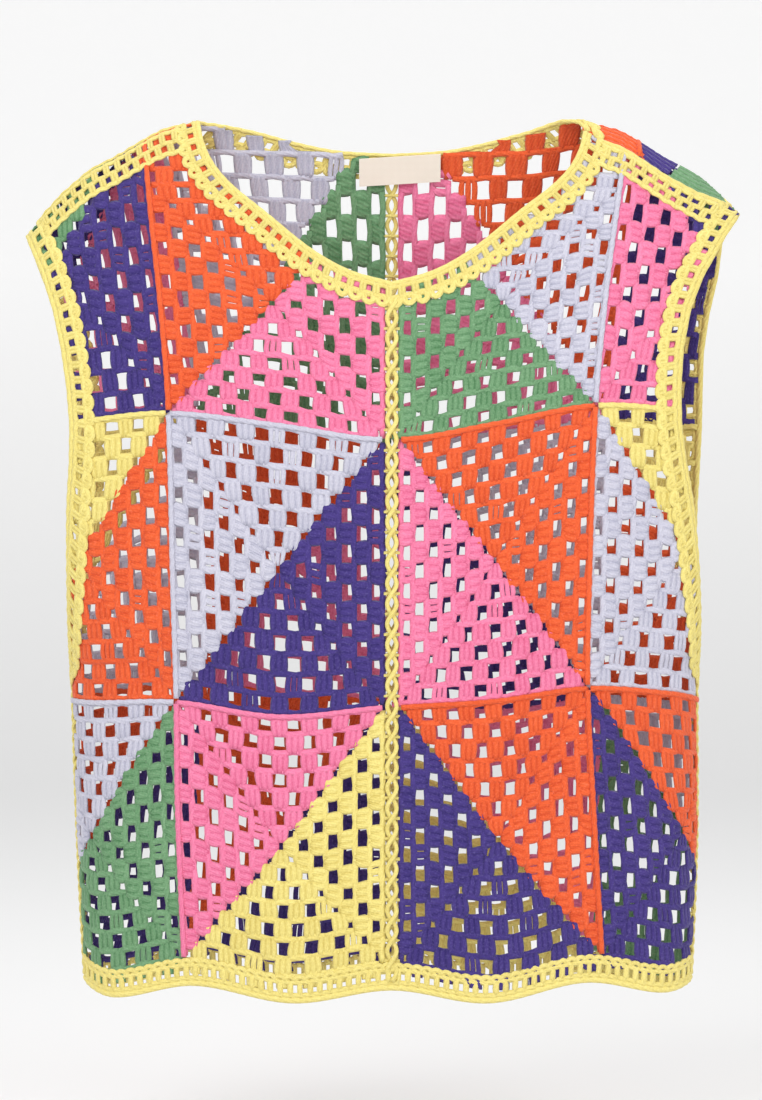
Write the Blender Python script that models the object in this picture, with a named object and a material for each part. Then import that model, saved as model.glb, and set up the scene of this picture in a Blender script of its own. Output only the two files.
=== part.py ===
# Openwork crochet blouse: a sleeveless top of two-colour granny squares with a
# yellow edging, filled out as worn. Metres, +Z up, the front faces -Y, and the
# origin lies between the tops of the shoulders.

import math

import bmesh
import bpy
import numpy as np
from mathutils import Vector
from mathutils.geometry import delaunay_2d_cdt

MM = 0.001

# Driving sizes, in millimetres.
CLOTH_WALL = 2.6
EDGING_WALL = 3.0
SEAM_GAP = 0.36
SQUARE_ARC = 131.0
SQUARE_TALL = 180.0
SIDE_PLACE = 1.7
NECK_BAND = 16.0
ARM_BAND = 16.0
SHOULDER_BAND = 19.0
HEM_BAND = 16.0
CENTRE_CHAIN = 9.0
SIDE_CHAIN = 6.0
CHAIN_STEP = 20.0
CHAIN_LIFT = 0.3
INNER_EDGE = CENTRE_CHAIN / 2 + SEAM_GAP
UNDERARM_HEIGHT = -356.0
RIDGE_DEPTH = 210.0
RIDGE_POWER = 0.56
SECTION_POWER = 2.4
# The right shoulder is rolled forward: how far, down to which drop, and where
# across it starts, is full, begins to fade and ends.
ROLL_FORWARD = 7.0
ROLL_REACH = 80.0
ROLL_ACROSS = (90.0, 140.0, 195.0, 222.0)
# Soft upright folds of the lower part: swell, the heights where they start and
# are full, and the depth over which they fade towards the edges.
FOLD_SWELL = 3.0
FOLD_HEIGHTS = (-240.0, -540.0)
FOLD_FADE = 30.0
LABEL_SIZE = (54.0, 19.0, 0.8)
LABEL_CENTRE = (5.5, -31.5)
LABEL_TILT = 0.06

# Mesh steps, in millimetres, or in fractions of a square.
PATCH_STEP_IN = 1.0 / 6.0
PATCH_STEP_OUT = 1.0 / 12.0
PATCH_STEP_DOWN = 1.0 / 8.0
NECK_STEPS = 13
ARM_STEPS = 22
ARM_SPREAD = 1.35
SIDE_STEPS = 9
SHOULDER_STEPS = 6
NEAR_RIDGE = 0.04
RIDGE_GAP = 0.24
SIDE_SAMPLES = 28
SLOPE_STEP = 0.02
LEAST_EDGE = 1.2
LEAST_PATCH = 60.0
INNER_CLEARANCE = 4.5
SEAM_LEAN = 1.6
LINE_SAMPLES = 33
SEARCH_STEPS = 30

# Top of the shoulders: distance from the middle, height.
SHOULDER_LINE = [
    (0, 2), (121, 2), (134, -1), (150, -5), (165, -13), (180, -22),
    (197, -31), (215, -46), (227, -59), (236, -70), (262, -104),
]

# Outer edge of each panel, as a distance from the middle:
# height, front left, front right, back left, back right.
SIDE_EDGE = [
    (10, 268, 262, 268, 262),
    (-40, 254, 243, 254, 243),
    (-71, 241, 220, 241, 220),
    (-100, 228, 203, 231, 216),
    (-140, 216, 190, 217, 208),
    (-200, 208, 187, 208, 206),
    (-260, 210, 196, 208, 202),
    (-320, 210, 200, 210, 200),
    (-380, 209, 200, 209, 200),
    (-470, 206, 200, 206, 200),
    (-548, 202, 197, 202, 197),
    (-580, 200, 195, 200, 195),
]

# Seam between the inner and outer squares: height, left, right.
COLUMN_SEAM = [
    (10, 165, 156), (-60, 158, 147), (-120, 151, 139), (-190, 145, 132),
    (-300, 142, 128), (-370, 140, 127), (-450, 139, 131), (-550, 135, 137),
    (-580, 134, 139),
]

# Depth of each panel at its middle, and at its armhole edge: height, depth.
MIDDLE_DEPTH = [
    (10, 62), (-100, 64), (-215, 66), (-380, 66), (-480, 63), (-580, 58),
]
EDGE_DEPTH = [
    (10, 55), (-140, 55), (-200, 48), (-250, 39), (-290, 31), (-320, 23),
    (-338, 16), (-348, 10), (-353, 6), (-356, 0.0), (-580, 0.0),
]
# How sharply a panel turns in at its edge: height, power.
EDGE_TURN = [
    (10, 0.95), (-140, 0.95), (-200, 0.85), (-260, 0.7), (-320, 0.55),
    (-356, 0.5), (-580, 0.5),
]

# Row lines: place across in squares, then the heights of lines 1 to 3.
ROW_LINES = [
    (-1.7, -200, -379, -547), (-1.45, -197, -380, -556), (-1.0, -192, -379, -547),
    (-0.5, -200, -388, -557), (0.0, -209, -382, -549), (0.5, -199, -378, -557),
    (1.0, -187, -370, -545), (1.45, -190, -374, -553), (1.7, -194, -379, -547),
]
# Height of line 0, the top of the first row: inner squares, outer squares.
TOP_LINES = {"front": (-42.0, 12.0), "back": (12.0, 12.0)}

# Neck edge of the front and of the back: distance from the middle, height.
FRONT_NECK = [
    (0, -108), (28, -100), (54, -85), (82, -62), (104, -44), (117, -29),
    (124, -14), (127, 0.6),
]
BACK_NECK = [
    (0, -19), (35, -17), (62, -12), (90, -5), (112, -1), (127, 0.6),
]

# Yarn colour: red, green, blue, all linear.
YARNS = {
    "orange": (0.91, 0.085, 0.025),
    "pink": (0.91, 0.15, 0.36),
    "navy": (0.044, 0.029, 0.25),
    "lavender": (0.46, 0.52, 0.71),
    "green": (0.09, 0.31, 0.125),
    "yellow": (0.86, 0.72, 0.17),
    "cream": (0.88, 0.84, 0.78),
}
# Squares by row and column: the half at the outer top, the half at the inner
# bottom. Columns run from left to right, seen from the panel's own outside.
SQUARES = [
    [("green", "navy"), ("orange", "pink"), ("lavender", "green"), ("navy", "pink")],
    [("yellow", "orange"), ("lavender", "navy"), ("orange", "pink"), ("yellow", "lavender")],
    [("lavender", "green"), ("pink", "yellow"), ("orange", "navy"), ("orange", "navy")],
]


def clear_scene():
    for item in list(bpy.data.objects):
        bpy.data.objects.remove(item, do_unlink=True)


def yarn_material(name):
    found = bpy.data.materials.get(name)
    if found:
        return found
    material = bpy.data.materials.new(name)
    material.use_nodes = True
    shader = material.node_tree.nodes["Principled BSDF"]
    shader.inputs["Base Color"].default_value = (*YARNS[name], 1.0)
    shader.inputs["Roughness"].default_value = 0.9
    shader.inputs["Metallic"].default_value = 0.0
    return material


def table_value(table, column, at):
    """Value of a table's column at a place, on straight runs between rows."""
    rows = sorted(table)
    return float(np.interp(at, [row[0] for row in rows], [row[column] for row in rows]))


def soft_value(table, column, at):
    """The same on a smooth curve through the rows."""
    rows = sorted(table)
    places = [row[0] for row in rows]
    values = [row[column] for row in rows]
    last = len(rows) - 1
    at = min(max(at, places[0]), places[last])
    first = min(max(int(np.searchsorted(places, at)) - 1, 0), last - 1)
    slopes = []
    for index in (first, first + 1):
        before = max(index - 1, 0)
        after = min(index + 1, last)
        slopes.append((values[after] - values[before]) / (places[after] - places[before]))
    span = places[first + 1] - places[first]
    part = (at - places[first]) / span
    start = values[first] * (1 + 2 * part) * (1 - part) ** 2
    end = values[first + 1] * part ** 2 * (3 - 2 * part)
    lean_in = slopes[0] * span * part * (1 - part) ** 2
    lean_out = slopes[1] * span * part ** 2 * (part - 1)
    return start + end + lean_in + lean_out


def shoulder_height(across):
    return soft_value(SHOULDER_LINE, 1, abs(across))


class Panel:
    """Front or back. Its own right is +u, seen from outside the garment."""

    def __init__(self, name, turn, neck):
        self.name = name
        self.turn = turn
        self.neck = neck

    def edge(self, hand, height):
        world_right = hand * self.turn > 0
        first = 1 if self.turn > 0 else 3
        return soft_value(SIDE_EDGE, first + int(world_right), height)

    def seam(self, hand, height):
        return soft_value(COLUMN_SEAM, 2 if hand > 0 else 1, height)

    def bulge(self, hand, across, height):
        """Depth of the wall at a distance across, away from the shoulders."""
        middle = soft_value(MIDDLE_DEPTH, 1, height)
        edge = table_value(EDGE_DEPTH, 1, height)
        power = table_value(EDGE_TURN, 1, height)
        share = np.clip(np.abs(across) / self.edge(hand, height), 0.0, 1.0)
        return edge + (middle - edge) * (1.0 - share ** SECTION_POWER) ** power

    def side_run(self, hand, height):
        """Distances across and arc lengths from the column seam to the edge."""
        edge = self.edge(hand, height)
        start = math.asin(min(self.seam(hand, height) / edge, 0.98))
        across = edge * np.sin(np.linspace(start, math.pi / 2, SIDE_SAMPLES))
        depth = self.bulge(hand, across, height)
        steps = np.hypot(np.diff(across), np.diff(depth))
        return across, np.concatenate(([0.0], np.cumsum(steps)))

    def across(self, run, height):
        """Distance across at an arc length from the middle, signed."""
        hand = 1 if run > 0 else -1
        seam = self.seam(hand, height)
        if abs(run) <= seam:
            return run
        across, arcs = self.side_run(hand, height)
        return hand * float(np.interp(abs(run) - seam, arcs, across))

    def edge_run(self, hand, height):
        return self.seam(hand, height) + self.side_run(hand, height)[1][-1]

    def run_of_square(self, place, height):
        """Arc length of a place across; squares start beside the centre chain."""
        hand = math.copysign(1, place)
        seam = self.seam(hand, height)
        if abs(place) <= 1.0:
            return hand * (INNER_EDGE + abs(place) * (seam - INNER_EDGE))
        return hand * (seam + (abs(place) - 1.0) * SQUARE_ARC)

    def square_of_run(self, run, height):
        hand = math.copysign(1, run)
        seam = self.seam(hand, height)
        if abs(run) <= seam:
            return hand * max(abs(run) - INNER_EDGE, 0.0) / (seam - INNER_EDGE)
        return hand * (1.0 + (abs(run) - seam) / SQUARE_ARC)

    def point(self, run, height):
        """Middle of the wall at an arc length and a height on the cloth."""
        hand = 1 if run > 0 else -1
        across = self.across(run, height)
        top = shoulder_height(across)
        world_right = across * self.turn
        rolled = float(np.interp(world_right, ROLL_ACROSS, (0.0, 1.0, 1.0, 0.0)))
        drop = top - height
        rolled *= max(1.0 - abs(drop) / ROLL_REACH, 0.0)
        drop += self.turn * ROLL_FORWARD * rolled
        share = min(abs(drop) / RIDGE_DEPTH, 1.0) ** RIDGE_POWER
        depth = math.copysign(share, drop) * float(self.bulge(hand, across, height))
        square = self.square_of_run(run, height)
        low = float(np.interp(-height, np.negative(FOLD_HEIGHTS), (0.0, 1.0)))
        calm = min(abs(depth) / FOLD_FADE, 1.0)
        depth -= FOLD_SWELL * low * calm * math.cos(2 * math.pi * square)
        place = (self.turn * across, -self.turn * depth, top - abs(drop))
        return Vector(place) * MM

    def shell_points(self, run, height, wall, out=0.0):
        """Outer and inner point of a wall, square to the cloth."""
        step = SLOPE_STEP
        most = self.edge_run(1 if run > 0 else -1, height) - step
        run = math.copysign(min(abs(run), most), run)
        along = self.point(run + step, height) - self.point(run - step, height)
        up = self.point(run, height + step) - self.point(run, height - step)
        normal = along.cross(up).normalized()
        centre = self.point(run, height) + normal * out * MM
        return centre + normal * wall * 0.5 * MM, centre - normal * wall * 0.5 * MM


FRONT = Panel("front", 1, FRONT_NECK)
BACK = Panel("back", -1, BACK_NECK)


def line_heights(place, top):
    """Heights of the four row lines at a place across in squares."""
    at = min(max(place, -SIDE_PLACE), SIDE_PLACE)
    return [top] + [soft_value(ROW_LINES, 1 + index, at) for index in range(3)]


def hem_height(place):
    """Height of the lowest row line at a place across in squares."""
    return line_heights(place, 0.0)[3]


def make_object(name, points, faces, colour):
    mesh = bpy.data.meshes.new(name)
    mesh.from_pydata([tuple(point) for point in points], [], faces)
    mesh.update()
    shaped = bmesh.new()
    shaped.from_mesh(mesh)
    bmesh.ops.triangulate(shaped, faces=shaped.faces[:])
    bmesh.ops.recalc_face_normals(shaped, faces=shaped.faces[:])
    shaped.to_mesh(mesh)
    shaped.free()
    mesh.shade_smooth()
    mesh.set_sharp_from_angle(angle=math.radians(50))
    mesh.materials.append(yarn_material(colour))
    made = bpy.data.objects.new(name, mesh)
    bpy.context.scene.collection.objects.link(made)


def strip_object(name, lanes, wall, colour, closed=False):
    """Closed wall from lanes of (panel, run, height, out), side by side."""
    count = len(lanes[0])
    outer = []
    inner = []
    for lane in lanes:
        for panel, run, height, out in lane:
            pair = panel.shell_points(run, height, wall, out)
            outer.append(pair[0])
            inner.append(pair[1])
    shift = len(outer)
    faces = []
    last = count if closed else count - 1
    for row in range(len(lanes) - 1):
        for step in range(last):
            after = (step + 1) % count
            near = row * count
            far = near + count
            faces.append((near + step, near + after, far + after, far + step))
            faces.append((shift + near + step, shift + far + step,
                          shift + far + after, shift + near + after))
    top = (len(lanes) - 1) * count
    for step in range(last):
        after = (step + 1) % count
        faces.append((step, shift + step, shift + after, after))
        faces.append((top + step, top + after, shift + top + after, shift + top + step))
    if not closed:
        for row in range(len(lanes) - 1):
            near = row * count
            far = near + count
            faces.append((near, far, shift + far, shift + near))
            near += count - 1
            far += count - 1
            faces.append((near, shift + near, shift + far, far))
    make_object(name, outer + inner, faces, colour)


def even_line(line, count, spread=1.0):
    """Line of (run, height) cut into steps that may widen along it."""
    steps = np.hypot(*np.diff(line, axis=0).T)
    length = np.concatenate(([0.0], np.cumsum(steps)))
    at = length[-1] * np.linspace(0.0, 1.0, count + 1) ** spread
    runs = np.interp(at, length, line[:, 0])
    heights = np.interp(at, length, line[:, 1])
    return np.column_stack([runs, heights])


def offset_line(line, distance):
    """Line moved to its left by a distance, with mitred corners."""
    line = np.array(line, float)
    ahead = np.diff(line, axis=0)
    ahead /= np.linalg.norm(ahead, axis=1)[:, None]
    left = np.column_stack([-ahead[:, 1], ahead[:, 0]])
    normals = np.vstack([left[:1], left[:-1] + left[1:], left[-1:]])
    normals /= np.linalg.norm(normals, axis=1)[:, None]
    pairs = np.vstack([left[:1], left])
    scale = 1.0 / np.clip(np.sum(normals * pairs, axis=1), 0.6, 1.0)
    scale[0] = scale[-1] = 1.0
    return line + normals * (distance * scale)[:, None]


def drop_below_shoulder(panel, run, height):
    return shoulder_height(panel.across(run, height)) - height


def trim_to_drop(panel, line, drop):
    """Keeps the start of a line, up to a height below the shoulder's top."""
    kept = [line[0]]
    for before, after in zip(line[:-1], line[1:]):
        if drop_below_shoulder(panel, *after) > drop:
            kept.append(after)
            continue
        low = 0.0
        high = 1.0
        for _ in range(SEARCH_STEPS):
            middle = (low + high) / 2
            place = before + (after - before) * middle
            if drop_below_shoulder(panel, *place) > drop:
                low = middle
            else:
                high = middle
        kept.append(before + (after - before) * low)
        break
    return np.array(kept)


def neck_line(panel, hand, outward):
    """Neck edge from the middle to the shoulder, moved out over the cloth."""
    across = np.array([row[0] for row in panel.neck], float)
    along = np.linspace(0.0, 1.0, LINE_SAMPLES)
    spots = np.linspace(0.0, 1.0, len(across))
    heights = [row[1] for row in panel.neck]
    distance_table = list(zip(spots, across))
    height_table = list(zip(spots, heights))
    line = [(soft_value(distance_table, 1, at), soft_value(height_table, 1, at)) for at in along]
    moved = offset_line(line, -outward)
    ridge = line[-1][0] + outward
    moved = np.vstack([moved, (ridge, shoulder_height(ridge) + 1.0)])
    moved[0] = (0.0, line[0][1] - outward)
    moved[:, 0] *= hand
    return moved


def arm_line(panel, hand, inward):
    """Armhole edge from the underarm to the shoulder, moved into the cloth."""
    heights = [UNDERARM_HEIGHT, -353.0, -348.0, -338.0, -320.0, -300.0, -275.0]
    heights += list(np.arange(-250.0, 1.0, 25.0))
    line = [(panel.edge_run(hand, height), height) for height in heights]
    line = np.array(line)[::-1]
    moved = offset_line(line, -inward)
    moved[-1] = (line[-1][0], line[-1][1] - inward)
    moved = moved[::-1]
    moved[:, 0] *= hand
    return moved


def neck_edge(panel, hand, outward, drop):
    line = trim_to_drop(panel, neck_line(panel, hand, outward), drop)
    return even_line(line, NECK_STEPS)


def arm_edge(panel, hand, inward, drop):
    line = trim_to_drop(panel, arm_line(panel, hand, inward), drop)
    return even_line(line, ARM_STEPS, ARM_SPREAD)


def height_at_drop(panel, run, drop):
    height = -SHOULDER_BAND
    for _ in range(SEARCH_STEPS):
        height = shoulder_height(panel.across(run, height)) - drop
    return height


def shoulder_edge(panel, hand, drop, shares):
    """Line at a height below the shoulder's top. Shares of the edging's width
    give its end points over the neck band, and the same over the armhole's."""
    neck_ends = [tuple(neck_edge(panel, hand, share * NECK_BAND + gap, drop)[-1])
                 for share, gap in shares]
    arm_ends = [tuple(arm_edge(panel, hand, share * ARM_BAND + gap, drop)[-1])
                for share, gap in reversed(shares)]
    runs = np.linspace(neck_ends[-1][0], arm_ends[0][0], SHOULDER_STEPS + 1)[1:-1]
    between = [(run, height_at_drop(panel, run, drop)) for run in runs]
    return neck_ends + between + arm_ends


def side_heights(hand):
    """Heights along the side seam, from the armhole's edging to the hem's."""
    low = UNDERARM_HEIGHT - ARM_BAND - SEAM_GAP
    return np.linspace(low, hem_height(hand * SIDE_PLACE), SIDE_STEPS)


def hem_places(hand):
    """Places across in squares where the hem's edge has a point."""
    inner = list(np.arange(0.0, 1.0, PATCH_STEP_IN))
    outer = list(np.arange(1.0, SIDE_PLACE - PATCH_STEP_OUT, PATCH_STEP_OUT))
    return [hand * place for place in inner + outer]


def half_outline(panel, hand):
    """Edge of one half of a panel, inside its edging, as (run, height)."""
    top_drop = SHOULDER_BAND + SEAM_GAP if panel is FRONT else RIDGE_GAP
    side = SIDE_CHAIN / 2 + SEAM_GAP
    neck = neck_edge(panel, hand, NECK_BAND + SEAM_GAP, top_drop)
    lines = [(hand * INNER_EDGE, neck[0][1] - 0.1)]
    lines += [tuple(point) for point in neck if abs(point[0]) > INNER_EDGE + 1.0]
    lines += shoulder_edge(panel, hand, top_drop, [(1.0, SEAM_GAP)])[1:-1]
    arm = arm_edge(panel, hand, ARM_BAND + SEAM_GAP, top_drop)[::-1]
    room = [panel.edge_run(hand, point[1]) - side - abs(point[0]) for point in arm]
    last = next((index for index, left in enumerate(room) if left < 0), len(arm) - 1)
    lines += [tuple(point) for point in arm[:last]]
    share = room[last - 1] / (room[last - 1] - room[last])
    lines.append(tuple(arm[last - 1] + (arm[last] - arm[last - 1]) * share))
    for height in side_heights(hand)[1:]:
        lines.append((hand * (panel.edge_run(hand, height) - side), height))
    for place in hem_places(hand)[:0:-1]:
        height = hem_height(place)
        lines.append((panel.run_of_square(place, height), height))
    lines.append((hand * INNER_EDGE, hem_height(0.0)))
    return lines


def clip_convex(shape, window):
    """Shape cut to a convex window, both as lists of (x, y)."""
    area = sum(a[0] * b[1] - b[0] * a[1] for a, b in zip(window, window[1:] + window[:1]))
    turn = 1.0 if area > 0 else -1.0
    for start, end in zip(window, window[1:] + window[:1]):
        kept = []

        def side(point):
            cross = (end[0] - start[0]) * (point[1] - start[1])
            cross -= (end[1] - start[1]) * (point[0] - start[0])
            return turn * cross

        for before, after in zip(shape, shape[1:] + shape[:1]):
            side_before = side(before)
            side_after = side(after)
            if side_before >= 0:
                kept.append(before)
            if (side_before >= 0) != (side_after >= 0):
                share = side_before / (side_before - side_after)
                kept.append((before[0] + share * (after[0] - before[0]),
                             before[1] + share * (after[1] - before[1])))
        shape = kept
        if len(shape) < 3:
            return []
    return shape


def split_edges(shape, step_across):
    """Adds points where a shape's edges cross the mesh steps."""
    result = []
    for before, after in zip(shape, shape[1:] + shape[:1]):
        result.append(before)
        wide = abs(after[0] - before[0]) > 0.02
        axis = 0 if wide else 1
        step = step_across if wide else PATCH_STEP_DOWN
        low = min(before[axis], after[axis])
        high = max(before[axis], after[axis])
        marks = [mark * step for mark in range(math.ceil(low / step), math.floor(high / step) + 1)]
        marks = [mark for mark in marks if low + 0.2 * step < mark < high - 0.2 * step]
        if before[axis] > after[axis]:
            marks.reverse()
        for mark in marks:
            share = (mark - before[axis]) / (after[axis] - before[axis])
            result.append((before[0] + share * (after[0] - before[0]),
                           before[1] + share * (after[1] - before[1])))
    return result


def drop_close_points(shape, least):
    kept = []
    for point in shape:
        if not kept or math.dist(point, kept[-1]) > least:
            kept.append(point)
    while len(kept) > 3 and math.dist(kept[0], kept[-1]) < least:
        kept.pop()
    return kept


def distance_to_shape(point, shape):
    best = 1e9
    for before, after in zip(shape, shape[1:] + shape[:1]):
        ahead = np.subtract(after, before)
        share = np.dot(np.subtract(point, before), ahead) / max(np.dot(ahead, ahead), 1e-12)
        near = np.add(before, ahead * min(max(share, 0.0), 1.0))
        best = min(best, math.dist(point, near))
    return best


def inside_shape(point, shape):
    inside = False
    for before, after in zip(shape, shape[1:] + shape[:1]):
        if (before[1] > point[1]) != (after[1] > point[1]):
            share = (point[1] - before[1]) / (after[1] - before[1])
            if point[0] < before[0] + share * (after[0] - before[0]):
                inside = not inside
    return inside


def line_of_height(place, height, top):
    """Row line at a place across in squares and a height."""
    lines = line_heights(place, top)
    if height > lines[0]:
        return (lines[0] - height) / (lines[0] - lines[1])
    if height < lines[3]:
        return 3.0 + (lines[3] - height) / (lines[2] - lines[3])
    return float(np.interp(-height, [-value for value in lines], range(4)))


def to_cloth(panel, place, line, top):
    """The same place as (run, height) on the cloth."""
    lines = line_heights(place, top)
    if line < 0:
        height = lines[0] + line * (lines[1] - lines[0])
    elif line > 3:
        height = lines[3] + (line - 3) * (lines[3] - lines[2])
    else:
        height = float(np.interp(line, range(4), lines))
    return panel.run_of_square(place, height), height


def patch_object(panel, hand, column, row, upper, outline, name, colour):
    """One colour's half of a square, as a closed wall."""
    first = float(column)
    last = first + 1.0
    low = row + 1.0
    gap_across = SEAM_GAP / 2 / SQUARE_ARC
    gap_down = SEAM_GAP / 2 / SQUARE_TALL
    lean = SEAM_LEAN * gap_down
    if row == 0 and upper:
        window = [(first + gap_across, -1.0), (last - gap_across, -1.0),
                  (last - gap_across, 1.0 - lean), (first + gap_across, -lean)]
    elif upper:
        window = [(first + 2 * gap_across, row + gap_down), (last - gap_across, row + gap_down),
                  (last - gap_across, low - lean)]
    else:
        window = [(first + gap_across, row + lean + gap_down),
                  (first + gap_across, low - gap_down),
                  (last - 2 * gap_across, low - gap_down)]
    window = [(hand * place, line) for place, line in window]
    shape = clip_convex(outline, window)
    if len(shape) < 3:
        return
    step_across = PATCH_STEP_IN if column == 0 else PATCH_STEP_OUT
    shape = split_edges(shape, step_across)
    top = TOP_LINES[panel.name][column]
    metric = [to_cloth(panel, *point, top) for point in shape]
    metric = drop_close_points(metric, LEAST_EDGE)
    area = sum(a[0] * b[1] - b[0] * a[1] for a, b in zip(metric, metric[1:] + metric[:1])) / 2
    if abs(area) < LEAST_PATCH:
        return
    if area < 0:
        metric.reverse()
    inner = []
    for index in range(1, int(2.2 / step_across)):
        for level in range(-8, 25):
            spot = to_cloth(panel, hand * index * step_across, level * PATCH_STEP_DOWN, top)
            inner.append(spot)
    inner = [spot for spot in inner
             if inside_shape(spot, metric)
             and distance_to_shape(spot, metric) > INNER_CLEARANCE]
    vertices = [Vector(point) for point in metric + inner]
    ring = list(range(len(metric)))
    result = delaunay_2d_cdt(vertices, [], [ring], 1, 1e-4, False)
    places = result[0]
    triangles = []
    for corners in result[2]:
        centre = sum((places[index] for index in corners), Vector((0.0, 0.0))) / 3.0
        if inside_shape(centre, metric):
            triangles.append(corners)
    outer = []
    under = []
    for place in places:
        pair = panel.shell_points(place[0], place[1], CLOTH_WALL)
        outer.append(pair[0])
        under.append(pair[1])
    shift = len(outer)
    faces = []
    rim = {}
    for corners in triangles:
        corners = list(corners)
        faces.append(tuple(corners))
        faces.append(tuple(shift + index for index in reversed(corners)))
        for start, end in zip(corners, corners[1:] + corners[:1]):
            if (end, start) in rim:
                del rim[(end, start)]
            else:
                rim[(start, end)] = True
    for start, end in rim:
        faces.append((end, start, shift + start, shift + end))
    make_object(name, outer + under, faces, colour)


def build_squares():
    for panel in (FRONT, BACK):
        for hand in (-1, 1):
            edge = half_outline(panel, hand)
            outlines = []
            for top in TOP_LINES[panel.name]:
                places = [panel.square_of_run(*point) for point in edge]
                outlines.append([(place, line_of_height(place, point[1], top))
                                 for place, point in zip(places, edge)])
            for row in range(3):
                for column, outline in enumerate(outlines):
                    across = column if hand > 0 else -1 - column
                    colours = SQUARES[row][across + 2]
                    for upper, colour in zip((True, False), colours):
                        name = f"{panel.name}_r{row + 1}c{across + 3}_{colour}"
                        patch_object(panel, hand, column, row, upper, outline, name, colour)


def with_panel(panel, line, out=0.0):
    return [(panel, run, height, out) for run, height in line]


def build_neck_bands():
    for panel, drop in ((FRONT, SHOULDER_BAND + SEAM_GAP), (BACK, NEAR_RIDGE)):
        lanes = []
        for share in (0.0, 0.5, 1.0):
            left = neck_edge(panel, -1, share * NECK_BAND, drop)
            right = neck_edge(panel, 1, share * NECK_BAND, drop)
            lanes.append(with_panel(panel, np.vstack([left[::-1], right[1:]])))
        strip_object(f"neck_band_{panel.name}", lanes, EDGING_WALL, "yellow")


def build_shoulder_bands():
    for hand, side in ((-1, "left"), (1, "right")):
        lanes = []
        for drop in (SHOULDER_BAND, 12.0, 6.0, 2.0, NEAR_RIDGE):
            shares = [(0.0, 0.0), (0.5, 0.0), (1.0, 0.0)]
            lanes.append(with_panel(FRONT, shoulder_edge(FRONT, hand, drop, shares)))
        strip_object(f"shoulder_band_{side}", lanes, EDGING_WALL, "yellow")


def build_arm_bands():
    for hand, side in ((-1, "left"), (1, "right")):
        lanes = []
        for share in (0.0, 0.5, 1.0):
            front = arm_edge(FRONT, hand, share * ARM_BAND, SHOULDER_BAND + SEAM_GAP)
            back = arm_edge(BACK, -hand, share * ARM_BAND, NEAR_RIDGE)
            lanes.append(with_panel(FRONT, front[::-1]) + with_panel(BACK, back[1:]))
        strip_object(f"armhole_band_{side}", lanes, EDGING_WALL, "yellow")


def build_hem_band():
    lanes = []
    for share in (0.0, 0.5, 1.0):
        lane = []
        for panel in (FRONT, BACK):
            places = hem_places(-1)[::-1] + hem_places(1)
            ring = []
            for place in places:
                height = hem_height(place) - SEAM_GAP - share * HEM_BAND
                ring.append((panel.run_of_square(place, height), height))
            height = hem_height(SIDE_PLACE) - SEAM_GAP - share * HEM_BAND
            ring.append((panel.edge_run(1, height), height))
            lane += with_panel(panel, ring)
        lanes.append(lane)
    strip_object("hem_band", lanes, EDGING_WALL, "yellow", closed=True)


def build_centre_chains():
    for panel in (FRONT, BACK):
        top = panel.neck[0][1] - NECK_BAND - SEAM_GAP
        bottom = hem_height(0.0)
        heights = np.linspace(bottom, top, int((top - bottom) / CHAIN_STEP) + 1)
        lanes = []
        for share in (0.5, 0.0, -0.5):
            lanes.append([(panel, share * CENTRE_CHAIN, height, CHAIN_LIFT) for height in heights])
        strip_object(f"centre_chain_{panel.name}", lanes, EDGING_WALL, "yellow")


def build_side_chains():
    for hand, side in ((-1, "left"), (1, "right")):
        heights = side_heights(hand)
        lanes = []
        for panel, inset in ((FRONT, SIDE_CHAIN / 2), (FRONT, 0.0), (BACK, SIDE_CHAIN / 2)):
            own = hand * panel.turn
            lanes.append([(panel, own * (panel.edge_run(own, height) - inset), height, 0.0)
                          for height in heights])
        strip_object(f"side_chain_{side}", lanes, EDGING_WALL, "yellow")


def build_label():
    width, tall, wall = LABEL_SIZE
    out = -(EDGING_WALL / 2 + SEAM_GAP + wall / 2)
    lanes = []
    for down in (0.5, 0.0, -0.5):
        lane = []
        for across in np.linspace(-0.5, 0.5, 7):
            place = LABEL_CENTRE[0] + across * width
            height = LABEL_CENTRE[1] - down * tall + across * width * LABEL_TILT
            lane.append((BACK, -place, height, out))
        lanes.append(lane[::-1])
    strip_object("neck_label", lanes, wall, "cream")


def main():
    clear_scene()
    build_squares()
    build_neck_bands()
    build_shoulder_bands()
    build_arm_bands()
    build_hem_band()
    build_centre_chains()
    build_side_chains()
    build_label()


main()
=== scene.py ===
import math

import bpy
import numpy as np
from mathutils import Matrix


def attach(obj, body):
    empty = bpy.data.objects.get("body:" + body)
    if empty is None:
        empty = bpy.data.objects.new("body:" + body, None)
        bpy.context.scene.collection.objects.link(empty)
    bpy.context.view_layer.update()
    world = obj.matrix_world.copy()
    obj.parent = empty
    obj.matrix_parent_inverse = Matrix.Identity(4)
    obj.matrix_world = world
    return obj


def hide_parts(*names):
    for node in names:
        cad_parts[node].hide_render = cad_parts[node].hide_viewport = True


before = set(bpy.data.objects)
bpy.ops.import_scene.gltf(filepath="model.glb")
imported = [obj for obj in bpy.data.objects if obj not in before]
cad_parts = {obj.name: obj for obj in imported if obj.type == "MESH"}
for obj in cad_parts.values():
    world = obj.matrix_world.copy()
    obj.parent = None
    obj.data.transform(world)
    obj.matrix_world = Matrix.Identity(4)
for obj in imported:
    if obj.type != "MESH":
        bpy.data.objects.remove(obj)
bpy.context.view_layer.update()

mm = 0.001
rng = np.random.default_rng(41)
print("frame loaded")

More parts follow.
